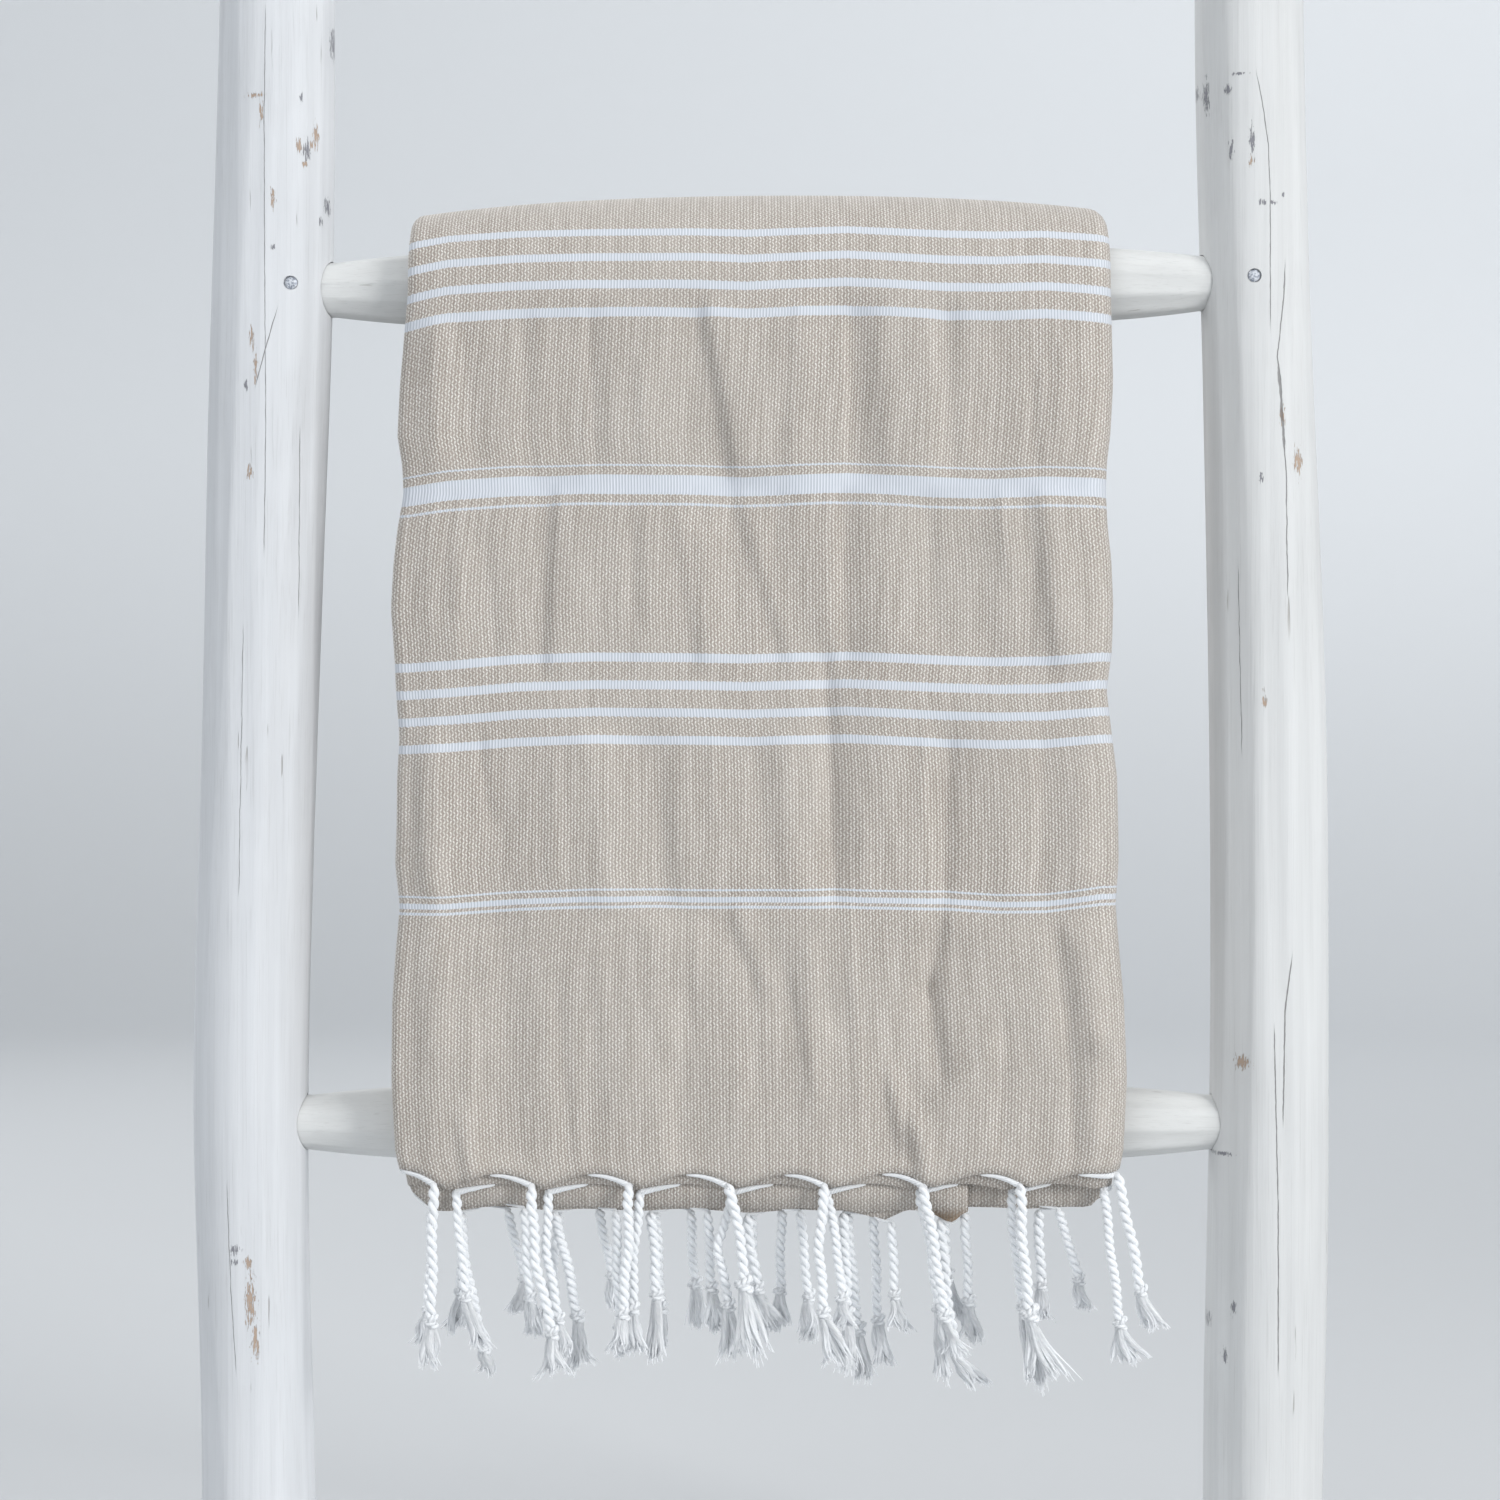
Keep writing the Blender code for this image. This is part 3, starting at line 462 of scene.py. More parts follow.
class Graph:
    """A material's node tree, built by calls that return sockets."""

    absolute = operation("ABSOLUTE")
    least = operation("MINIMUM")
    minus = operation("SUBTRACT")
    most = operation("MAXIMUM")
    over = operation("DIVIDE")
    plus = operation("ADD")
    times = operation("MULTIPLY")
    times_plus = operation("MULTIPLY_ADD")

    def __init__(self, name):
        self.material = bpy.data.materials.new(name)
        self.material.use_nodes = True
        self.tree = self.material.node_tree
        self.shader = self.tree.nodes["Principled BSDF"]

    def node(self, kind, values=(), **settings):
        made = self.tree.nodes.new(kind)
        for key, value in settings.items():
            setattr(made, key, value)
        for key, value in dict(values).items():
            self.feed(made.inputs[key], value)
        return made

    def feed(self, socket, value):
        if isinstance(value, bpy.types.NodeSocket):
            self.tree.links.new(value, socket)
        else:
            socket.default_value = value

    def fed(self, kind, values, **settings):
        """A node whose first sockets take the values in their order."""
        made = self.node(kind, **settings)
        for socket, value in zip(made.inputs, values):
            self.feed(socket, value)
        return made

    def math(self, name, first, second=0.0, third=0.0):
        return self.fed("ShaderNodeMath", (first, second, third), operation=name).outputs[0]

    def step(self, value, start, end, low=0.0, high=1.0, kind="SMOOTHSTEP"):
        """Low up to start and high from end, smoothly between them."""
        values = (value, start, end, low, high)
        return self.fed("ShaderNodeMapRange", values, interpolation_type=kind).outputs[0]

    def ramp(self, value, start, end, low, high):
        """Low up to start and high from end, in a straight line between them."""
        return self.step(value, start, end, low, high, "LINEAR")

    def vector(self, name, first, second=(0.0, 0.0, 0.0)):
        made = self.fed("ShaderNodeVectorMath", (first, second), operation=name)
        return made.outputs["Value" if name == "LENGTH" else "Vector"]

    def mix(self, share, first, second):
        """A colour between two. The node's colour sockets are its seventh and eighth."""
        values = {0: share, 6: first, 7: second}
        return self.node("ShaderNodeMix", values, data_type="RGBA").outputs[2]

    def place(self, scale=(1.0, 1.0, 1.0)):
        """The object's own coordinates, scaled along each axis."""
        where = self.node("ShaderNodeTexCoord").outputs["Object"]
        return self.node("ShaderNodeMapping", {"Vector": where, "Scale": scale}).outputs[0]

    def noise(self, vector, scale, detail=2.0, roughness=0.5):
        values = {"Vector": vector, "Scale": scale, "Detail": detail, "Roughness": roughness}
        return self.node("ShaderNodeTexNoise", values).outputs["Fac"]

    def split(self, vector):
        return self.node("ShaderNodeSeparateXYZ", {"Vector": vector}).outputs

    def join(self, x, y, z=0.0):
        return self.node("ShaderNodeCombineXYZ", {"X": x, "Y": y, "Z": z}).outputs[0]

    def bump(self, height, distance, strength=1.0, normal=None):
        values = {"Height": height, "Distance": distance, "Strength": strength}
        if normal is not None:
            values["Normal"] = normal
        return self.node("ShaderNodeBump", values).outputs[0]

    def surface(self, values):
        """Gives the shader its values and returns the finished material."""
        for key, value in values.items():
            self.feed(self.shader.inputs[key], value)
        return self.material


# ---------------------------------------------------------------- cloth material
# The woven stripes, from the hem to the cloth's middle. The other half has them in reverse.
Stripe = namedtuple("Stripe", "middle width")
STRIPES = table(
    Stripe,
    (1276, 11),
    (1312, 25),
    (1356, 11),
    (2054, 42),
    (2182, 40),
    (2311, 40),
    (2440, 42),
    (3152, 11),
    (3243, 90),
    (3334, 11),
    (4046, 42),
    (4176, 40),
    (4306, 40),
    (4436, 42),
    (5130, 11),
    (5174, 25),
    (5210, 11),
)
WARP_PITCH = 0.00148
TWILL_REPEAT = 0.0034
RIB_PITCH = 0.00144
STRIPE_EDGE = 0.0002
STRIPE_RAGGED = 0.0009
THREAD_SHIFT = 0.25
THREAD_JITTER = 0.22
TAUPE_THREADS = srgb(160, 150, 141), srgb(175, 165, 156)
LIGHT_THREADS = srgb(227, 222, 215), srgb(241, 237, 232)
WHITE_RIBS = srgb(194, 199, 207), srgb(224, 228, 235)
PALE_PATCH = srgb(205, 200, 193)
# The corner of the hidden third that hangs free is tinted a darker brown within this u, and this far
# past the hem: painted shade, for a corner that hangs in shadow.
CORNER_PAINTED_SHADE = srgb(146, 122, 96)
SHADED_CORNER_WIDTH = (0.014, 0.022)
SHADED_CORNER_HEIGHT = (-0.018, -0.012)


def cloth_material():
    graph = Graph("beige broken twill")
    flat = graph.node("ShaderNodeUVMap", uv_map="flat").outputs[0]
    u, v, _ = graph.split(flat)
    # The light warp threads zigzag down the cloth. Every second column lies a quarter repeat lower.
    column = graph.over(u, WARP_PITCH)
    index = graph.math("FLOOR", column)
    inside = graph.math("FRACT", column)
    shift = graph.times(graph.math("PINGPONG", index, 1.0), THREAD_SHIFT)
    jitter = graph.noise(graph.join(index, v), 60.0, 1.0)
    along = graph.plus(graph.over(v, TWILL_REPEAT), shift)
    along = graph.plus(along, graph.times(jitter, THREAD_JITTER))
    zigzag = graph.math("PINGPONG", along, 0.5)
    away = graph.absolute(graph.minus(inside, graph.times_plus(zigzag, 0.8, 0.30)))
    twice = graph.times(along, 2.0)
    gap = graph.absolute(graph.minus(graph.math("FRACT", twice), 0.5))
    which = graph.join(index, graph.math("FLOOR", twice))
    own = graph.node("ShaderNodeTexWhiteNoise", {"Vector": which}, noise_dimensions="2D").outputs[0]
    dash = graph.times(graph.step(gap, 0.26, 0.48, 1.0, 0.1), graph.step(own, 0.0, 1.0, 0.6, 1.0))
    thread = graph.times(graph.step(away, 0.09, 0.38, 1.0, 0.0), dash)
    # Bands of white weft. Their edges follow the zigzag a little.
    from_end = graph.least(v, graph.minus(TOWEL_LENGTH, v))
    ragged = graph.times_plus(graph.minus(zigzag, THREAD_SHIFT), STRIPE_RAGGED, from_end)
    white = 0.0
    for stripe in STRIPES:
        past = graph.absolute(graph.minus(ragged, stripe.middle))
        edge = stripe.width / 2
        band = graph.step(past, edge - STRIPE_EDGE, edge + STRIPE_EDGE, 1.0, 0.0)
        white = graph.most(white, band)
    rib = graph.math("SINE", graph.times(u, 2 * math.pi / RIB_PITCH))
    rib = graph.times_plus(rib, 0.5, 0.5)
    # Uneven yarn: slubs along the warp and soft patches across the cloth.
    slub = graph.noise(graph.join(graph.times(u, 520.0), graph.times(v, 24.0)), 1.0)
    taupe = graph.mix(graph.step(slub, 0.35, 0.65), *TAUPE_THREADS)
    light = graph.mix(graph.step(slub, 0.3, 0.7), *LIGHT_THREADS)
    ground = graph.mix(thread, taupe, light)
    patch = graph.step(graph.noise(flat, 9.0, 3.0), 0.3, 0.7, 0.0, 0.16)
    ground = graph.mix(patch, ground, PALE_PATCH)
    # Painted shade: the hidden third's free corner, which hangs in shadow, is mixed towards a dark
    # brown.
    beside = graph.step(u, *SHADED_CORNER_WIDTH, 1.0, 0.0)
    corner = graph.times(beside, graph.step(from_end, *SHADED_CORNER_HEIGHT, 1.0, 0.0))
    ground = graph.mix(graph.times(corner, 0.8), ground, CORNER_PAINTED_SHADE)
    relief = graph.mix(white, thread, graph.times(rib, 0.7))
    fibre = graph.noise(graph.join(graph.times(u, 9000.0), graph.times(v, 5000.0)), 1.0)
    return graph.surface({
        "Base Color": graph.mix(white, ground, graph.mix(rib, *WHITE_RIBS)),
        "Normal": graph.bump(relief, 0.00035, 0.8, graph.bump(fibre, 0.00006, 0.6)),
        "Roughness": 0.92,
        "Specular IOR Level": 0.2,
        "Sheen Weight": 0.25,
        "Sheen Roughness": 0.5,
    })


def yarn_material():
    """White cotton yarn. The map runs round the yarn and along it."""
    graph = Graph("white cotton yarn")
    flat = graph.node("ShaderNodeUVMap", uv_map="flat").outputs[0]
    round_it, along, _ = graph.split(flat)
    lay = graph.times_plus(along, 900.0, graph.times(round_it, 14.0))
    fibre = graph.noise(graph.join(lay, graph.times(along, 60.0)), 1.0, 3.0)
    patch = graph.noise(graph.place(), 70.0, 2.0)
    colour = graph.mix(graph.step(fibre, 0.3, 0.75), srgb(236, 239, 243), srgb(250, 252, 254))
    colour = graph.mix(graph.step(patch, 0.45, 0.8, 0.0, 0.3), colour, srgb(232, 233, 233))
    return graph.surface({
        "Base Color": colour,
        "Normal": graph.bump(fibre, 0.0001, 0.6),
        "Roughness": 0.88,
        "Specular IOR Level": 0.25,
        "Sheen Weight": 0.3,
        "Subsurface Weight": 0.45,
        "Subsurface Radius": (1.0, 1.0, 1.0),
        "Subsurface Scale": 0.0015,
    })


# ---------------------------------------------------------------- wood material
# A crack: the places that it runs through from its lower end, half its width, how far it wanders.
Crack = namedtuple("Crack", "places half_width wander")
# A chip in the paint: its middle, and how wide and tall it is.
Chip = namedtuple("Chip", "x z width height")
Marks = namedtuple("Marks", "cracks grey brown")
NO_MARKS = Marks((), (), ())
FAR = 9.0
CRACK_END = 0.010
GREY_WOOD = srgb(122, 122, 130)
BROWN_WOOD = srgb(176, 150, 128)


def nearest_crack(graph, where, cracks):
    """How far a point is from the nearest crack's middle, as a share of half that crack's width."""
    x, _, z = graph.split(where)
    wander = graph.noise(graph.join(0.0, 0.0, graph.times(z, 70.0)), 1.0, 4.0, 0.6)
    wander = graph.minus(wander, 0.5)
    swell = graph.noise(graph.join(5.0, 0.0, graph.times(z, 130.0)), 1.0, 2.0)
    nearest = FAR
    for crack in cracks:
        middle = graph.times_plus(wander, crack.wander, crack.places[0].x)
        for (x_low, low), (x_high, high) in zip(crack.places, crack.places[1:]):
            middle = graph.plus(middle, graph.ramp(z, low, high, 0.0, x_high - x_low))
        low, high = crack.places[0].z, crack.places[-1].z
        top_end = graph.step(z, high - CRACK_END, high, 1.0, 0.0)
        ends = graph.times(graph.step(z, low, low + CRACK_END), top_end)
        width = graph.times_plus(graph.times(swell, ends), crack.half_width * 2, 1e-6)
        away = graph.absolute(graph.minus(x, middle))
        nearest = graph.least(graph.over(away, width), nearest)
    return nearest


def nearest_chip(graph, where, chips):
    """How far a point is from the nearest chip's middle, as a share of half that chip's size."""
    nearest = FAR
    for chip in chips:
        offset = graph.vector("SUBTRACT", where, (chip.x, 0.0, chip.z))
        share = graph.vector("MULTIPLY", offset, (2 / chip.width, 0.0, 2 / chip.height))
        nearest = graph.least(graph.vector("LENGTH", share), nearest)
    return nearest


def wood_material(name, lengthwise, tint, marks=NO_MARKS):
    """White paint on wood. Lengthwise is the axis that its grain runs along."""
    graph = Graph(name)
    where = graph.place()

    def stretched(across, along, detail, roughness):
        scale = tuple(along if axis == lengthwise else across for axis in range(3))
        return graph.noise(graph.place(scale), 1.0, detail, roughness)

    hair = stretched(1700.0, 16.0, 3.0, 0.65)
    grain = stretched(620.0, 9.0, 3.0, 0.6)
    broad = stretched(150.0, 4.0, 2.0, 0.5)
    streak = stretched(420.0, 26.0, 2.0, 0.45)
    ragged = stretched(1500.0, 260.0, 3.0, 0.6)
    cloud = graph.noise(where, 14.0, 3.0)
    pale, deep = srgb(*(value + 8 for value in tint)), srgb(*(value - 6 for value in tint))
    colour = graph.mix(graph.step(broad, 0.3, 0.7), srgb(*tint), pale)
    colour = graph.mix(graph.step(cloud, 0.35, 0.75, 0.0, 0.35), colour, deep)
    lines = graph.times(graph.step(hair, 0.52, 0.74), graph.step(cloud, 0.25, 0.6, 0.35, 1.0))
    colour = graph.mix(graph.times(lines, 0.22), colour, srgb(172, 172, 170))
    colour = graph.mix(graph.step(grain, 0.60, 0.80, 0.0, 0.18), colour, srgb(184, 182, 178))
    worn = graph.times(graph.step(streak, 0.71, 0.76), graph.step(cloud, 0.50, 0.62))
    colour = graph.mix(graph.times(worn, 0.6), colour, srgb(150, 144, 138))
    dent = graph.most(graph.times(lines, 0.3), worn)
    front = graph.step(graph.split(where)[1], LADDER_Y - 0.004, LADDER_Y + 0.004, 1.0, 0.0)
    uneven = graph.times_plus(ragged, 5.0, -2.5)
    for chips, bare in ((marks.grey, GREY_WOOD), (marks.brown, BROWN_WOOD)):
        if chips:
            edge = graph.plus(nearest_chip(graph, where, chips), uneven)
            mark = graph.times(graph.step(edge, 0.55, 0.85, 1.0, 0.0), front)
            colour = graph.mix(graph.times(mark, 0.85), colour, bare)
            dent = graph.most(dent, mark)
    if marks.cracks:
        line = graph.step(nearest_crack(graph, where, marks.cracks), 0.7, 1.2, 1.0, 0.0)
        line = graph.times(line, front)
        colour = graph.mix(graph.times(line, 0.75), colour, srgb(112, 110, 110))
        dent = graph.most(dent, graph.times(line, 2.0))
    waves = graph.bump(broad, 0.0005, 0.5)
    raised = graph.bump(graph.plus(hair, grain), 0.00018, 0.7, waves)
    return graph.surface({
        "Base Color": colour,
        "Normal": graph.bump(graph.minus(1.0, dent), 0.0004, 0.8, raised),
        "Roughness": graph.step(broad, 0.2, 0.8, 0.68, 0.82),
        "Specular IOR Level": 0.28,
    })


def nail_material():
    graph = Graph("painted nail head")
    speckle = graph.noise(graph.place(), 900.0, 3.0, 0.6)
    steel, paint = srgb(150, 156, 168), srgb(212, 216, 222)
    return graph.surface({
        "Base Color": graph.mix(graph.step(speckle, 0.40, 0.58), steel, paint),
        "Metallic": graph.step(speckle, 0.40, 0.50, 0.8, 0.1),
        "Normal": graph.bump(speckle, 0.0002, 0.6),
        "Roughness": 0.45,
    })


# ---------------------------------------------------------------- ladder
def spline_at(sections, share):
    """A point of the clamped cubic spline that has the sections as its control points."""
    count = len(sections)
    spans = count - 3
    at = min(share * spans, spans - 1e-9)
    knots = [0.0] * 3 + [float(k) for k in range(spans + 1)] + [float(spans)] * 3
    span = int(at) + 3
    points = [np.array(sections[span - 3 + k], dtype=float) for k in range(4)]
    for level in range(1, 4):
        for k in range(3, level - 1, -1):
            low = knots[span - 3 + k]
            high = knots[span + 1 + k - level]
            part = (at - low) / (high - low)
            points[k] = (1 - part) * points[k - 1] + part * points[k]
    return points[3]


# The flats that are hewn along a pole. Each faces a way, in degrees, from which it drifts
# to both sides along the pole, and cuts in by a share of the radius.
Flat = namedtuple("Flat", "faces depth drift")
FLAT_REACH = 60
LEFT_FLATS = (
    Flat(-95, 0.022, 10), Flat(-52, 0.030, -14), Flat(-8, 0.026, 12), Flat(38, 0.024, 8),
    Flat(84, 0.030, -10), Flat(131, 0.024, 9), Flat(176, 0.032, -8), Flat(222, 0.028, 12),
)
RIGHT_FLATS = (
    Flat(-88, 0.020, 6), Flat(-132, 0.046, -5), Flat(-45, 0.026, 10), Flat(2, 0.030, -12),
    Flat(49, 0.024, 8), Flat(92, 0.030, 10), Flat(138, 0.026, -9), Flat(183, 0.034, 8),
)


def flattened(angle, share, flats):
    """The share of its radius that a pole keeps, at an angle round it and a share of its length."""
    kept = 1.0
    for flat in flats:
        facing = flat.faces + flat.drift * math.sin(2.4 * math.pi * share + flat.faces)
        turn = (angle - facing + 180) % 360 - 180
        if abs(turn) < FLAT_REACH:
            level = 1 - flat.depth * (0.75 + 0.25 * math.sin(5.1 * share + flat.faces))
            kept = min(kept, level / math.cos(math.radians(turn)))
    return kept


RAIL_SIDES = 120
RAIL_RINGS = 240
END_ROUNDING = 0.0025
# An end's two rings: how far up they lie and how far in, as shares of the rounding.
END_RINGS = ((0.0, 1.0), (0.5, 0.35))


def make_rail(name, sections, flats, finish):
    points = []
    top = sections[-1].height
    stops = [(0.0, up, inset) for up, inset in END_RINGS]
    stops += [(ring / RAIL_RINGS, 0.0, 0.0) for ring in range(RAIL_RINGS + 1)]
    stops += [(1.0, -up, inset) for up, inset in reversed(END_RINGS)]
    rings = 0
    for share, up, inset in stops:
        height, x, radius = spline_at(sections, share)
        if not inset and min(height, top - height) < END_ROUNDING:
            continue
        height += END_ROUNDING * up
        radius -= END_ROUNDING * inset
        rings += 1
        for side in range(RAIL_SIDES):
            angle = 360 * side / RAIL_SIDES
            kept = radius * flattened(angle, share, flats)
            turn = math.radians(angle)
            points.append((x + kept * math.cos(turn), LADDER_Y + kept * math.sin(turn), height))
    faces = grid_faces(rings, RAIL_SIDES, closed=True)
    for ring in (0, rings - 1):
        middle = len(points)
        around = points[ring * RAIL_SIDES : (ring + 1) * RAIL_SIDES]
        points.append(tuple(np.mean(around, axis=0)))
        for side in range(RAIL_SIDES):
            here, after = ring * RAIL_SIDES + side, ring * RAIL_SIDES + (side + 1) % RAIL_SIDES
            faces.append((after, here, middle) if ring == 0 else (here, after, middle))
    return add_mesh(name, points, faces, finish)


def rung_radius(rung, x):
    share = np.minimum(np.abs(x - rung.centre) / rung.half, 1.0)
    return blend(RUNG_MIDDLE_RADIUS, RUNG_END_RADIUS, share**RUNG_BARREL_POWER)


def rung_height(rung, x):
    return rung.height + rung.tilt * (x - rung.centre)


RUNG_SIDES = 96
RUNG_RINGS = 150
TENON_RINGS = (0.0015, 0.002)
HEWN_FADE = 0.008
RUNG_FLATS = (
    Flat(-100, 0.055, 5), Flat(-60, 0.050, -6), Flat(-20, 0.056, 7), Flat(20, 0.052, -5),
    Flat(58, 0.056, 6), Flat(97, 0.050, -7), Flat(137, 0.056, 5), Flat(177, 0.050, -6),
    Flat(218, 0.056, 6),
)


def make_rung(rung, turn_by, finish):
    """A hewn rung: the solids' barrel with flats cut along it and a round tenon at each end."""
    reach = rung.half + TENON_DEPTH
    stops = [-reach] + [inset - reach for inset in TENON_RINGS]
    stops += [blend(-rung.half, rung.half, k / RUNG_RINGS) for k in range(RUNG_RINGS + 1)]
    stops += [reach - inset for inset in reversed(TENON_RINGS)] + [reach]
    rings = []
    for stop in stops:
        radius = float(rung_radius(rung, rung.centre + stop))
        radius -= TENON_RINGS[0] if abs(stop) == reach else 0.0
        hewn = smoothstep((rung.half + HEWN_FADE / 2 - abs(stop)) / HEWN_FADE)
        ring = []
        for side in range(RUNG_SIDES):
            angle = 360 * side / RUNG_SIDES
            flat = flattened(angle + turn_by, 0.5 + stop / (2 * reach), RUNG_FLATS)
            kept = radius * blend(1.0, flat, hewn)
            turn = math.radians(angle)
            up = kept * math.cos(turn)
            height = rung_height(rung, rung.centre + stop) + up
            ring.append((rung.centre + stop, LADDER_Y - kept * math.sin(turn), height))
        rings.append(ring)
    faces = grid_faces(len(rings), RUNG_SIDES, closed=True)
    faces.append(tuple(reversed(range(RUNG_SIDES))))
    last = (len(rings) - 1) * RUNG_SIDES
    faces.append(tuple(last + side for side in range(RUNG_SIDES)))
    made = add_mesh(rung.name + "_wood", [point for ring in rings for point in ring], faces, finish)
    mend_normals(made)
    return made


CUTTER_TURN = 0.03


def mend_normals(obj):
    bm = bmesh.new()
    bm.from_mesh(obj.data)
    bmesh.ops.recalc_face_normals(bm, faces=bm.faces)
    bm.to_mesh(obj.data)
    bm.free()


def cut_hole(obj, radius, start, end, sides=64):
    """Cuts a round hole from start to end. The cutter is turned, so that its edges miss the piece's."""
    start, end = Vector(start), Vector(end)
    along = end - start
    bm = bmesh.new()
    turn = along.to_track_quat("Z", "Y").to_matrix().to_4x4()
    place = Matrix.Translation((start + end) / 2) @ turn @ Matrix.Rotation(CUTTER_TURN, 4, "Z")
    bmesh.ops.create_cone(
        bm, cap_ends=True, segments=sides, radius1=radius, radius2=radius,
        depth=along.length, matrix=place,
    )
    mesh = bpy.data.meshes.new("cutter")
    bm.to_mesh(mesh)
    bm.free()
    cutter = bpy.data.objects.new("cutter", mesh)
    bpy.context.scene.collection.objects.link(cutter)
    modifier = obj.modifiers.new("hole", "BOOLEAN")
    modifier.operation = "DIFFERENCE"
    modifier.solver = "EXACT"
    modifier.object = cutter
    bpy.context.view_layer.update()
    graph = bpy.context.evaluated_depsgraph_get()
    cut = bpy.data.meshes.new_from_object(obj.evaluated_get(graph))
    obj.modifiers.clear()
    old = obj.data
    obj.data = cut
    bpy.data.meshes.remove(old)
    bpy.data.objects.remove(cutter, do_unlink=True)
    bpy.data.meshes.remove(mesh)


def finish_hard_edges(obj, degrees):
    obj.data.shade_smooth()
    obj.data.set_sharp_from_angle(angle=math.radians(degrees))


def cut_sockets(rail, side):
    for rung in (UPPER_RUNG, LOWER_RUNG):
        inner = rung.centre + side * (rung.half - 0.02)
        outer = rung.centre + side * (rung.half + TENON_DEPTH + FIT)
        start = (inner, LADDER_Y, rung_height(rung, inner))
        end = (outer, LADDER_Y, rung_height(rung, outer))
        cut_hole(rail, RUNG_END_RADIUS + FIT, start, end)


def cut_nail_hole(obj, nail, radius, start, end, sides):
    """A hole for a nail, from one depth to another behind the rails' middle."""
    height = rung_height(UPPER_RUNG, nail.x)
    cut_hole(obj, radius, (nail.x, LADDER_Y + start, height), (nail.x, LADDER_Y + end, height), sides)


LEFT_GREY_CHIPS = table(
    Chip,
    (-2142, 7214, 28, 94),
    (-2038, 7750, 28, 141),
    (-2015, 7614, 14, 216),
    (-2292, 6744, 19, 24),
    (-2062, 6965, 19, 75),
    (-2085, 6885, 14, 42),
    (-2419, 6091, 19, 47),
    (-2475, 2025, 47, 42),
    (-2475, 1969, 38, 28),
    (-2165, 7454, 14, 38),
)
LEFT_BROWN_CHIPS = table(
    Chip,
    (-2104, 7280, 24, 113),
    (-2174, 7228, 24, 66),
    (-2151, 7144, 28, 24),
    (-2123, 7238, 19, 38),
    (-2377, 7459, 75, 24),
    (-2348, 7374, 19, 103),
    (-2292, 6974, 24, 85),
    (-2391, 6312, 24, 103),
    (-2400, 5687, 28, 85),
    (-2400, 1781, 42, 235),
    (-2377, 1607, 33, 160),
    (-2414, 1964, 38, 56),
    (-2372, 6157, 19, 141),
)
RIGHT_GREY_CHIPS = table(
    Chip,
    (2084, 7510, 19, 66),
    (2117, 7482, 24, 150),
    (2201, 7496, 33, 42),
    (2314, 7247, 28, 141),
    (2220, 7219, 19, 85),
    (2361, 6960, 38, 24),
    (2417, 6956, 33, 19),
    (2465, 6998, 19, 24),
    (2356, 5658, 24, 56),
    (2192, 2467, 75, 19),
    (2131, 1668, 33, 66),
    (2197, 1513, 24, 56),
    (2234, 1748, 19, 75),
    (2258, 7567, 75, 14),
)
RIGHT_BROWN_CHIPS = table(
    Chip,
    (2535, 5743, 42, 122),
    (2455, 5955, 24, 94),
    (2272, 2909, 66, 56),
    (2309, 7153, 19, 56),
    (2370, 4615, 24, 85),
)
Place = namedtuple("Place", "x z")
LEFT_CRACKS = (
    Crack(table(Place, (-2334, 5273), (-2325, 5931), (-2334, 7303), (-2329, 7905)), 0.00016, 0.001),
    Crack(table(Place, (-2381, 6063), (-2315, 6307), (-2264, 6481)), 0.00022, 0.0016),
    Crack(table(Place, (-2184, 4991), (-2174, 5931)), 0.00013, 0.001),
    Crack(table(Place, (-2456, 3675), (-2433, 4991)), 0.00015, 0.0014),
    Crack(table(Place, (-2466, 1419), (-2494, 1842), (-2513, 2359)), 0.00016, 0.0012),
)
RIGHT_CRACKS = (
    Crack(
        table(Place, (2399, 6340), (2399, 6993), (2389, 7228), (2370, 7383), (2328, 7595)),
        0.0002, 0.0012,
    ),
    Crack(
        table(
            Place,
            (2479, 5085), (2474, 5687), (2460, 5870), (2446, 6077),
            (2432, 6232), (2465, 6523), (2474, 6706),
        ),
        0.00026, 0.0016,
    ),
    Crack(table(Place, (2469, 5752), (2460, 5870), (2446, 6077), (2432, 6251)), 0.00062, 0.002),
    Crack(table(Place, (2455, 2594), (2465, 3158), (2502, 3440)), 0.0003, 0.0014),
    Crack(table(Place, (2432, 1419), (2432, 2218), (2413, 3111)), 0.00026, 0.0012),
    Crack(table(Place, (2272, 4333), (2253, 5273)), 0.00014, 0.0012),
)
LEFT_MARKS = Marks(LEFT_CRACKS, LEFT_GREY_CHIPS, LEFT_BROWN_CHIPS)
RIGHT_MARKS = Marks(RIGHT_CRACKS, RIGHT_GREY_CHIPS, RIGHT_BROWN_CHIPS)


GRAIN_UP = 2
GRAIN_ACROSS = 0
LEFT_PAINT = (216, 218, 221)
RIGHT_PAINT = (213, 214, 214)
RUNG_PAINT = (216, 217, 216)
RAIL_SHARP = 42
RUNG_SHARP = 50
RUNG_TURNS = {UPPER_RUNG: 0.0, LOWER_RUNG: 17.0}


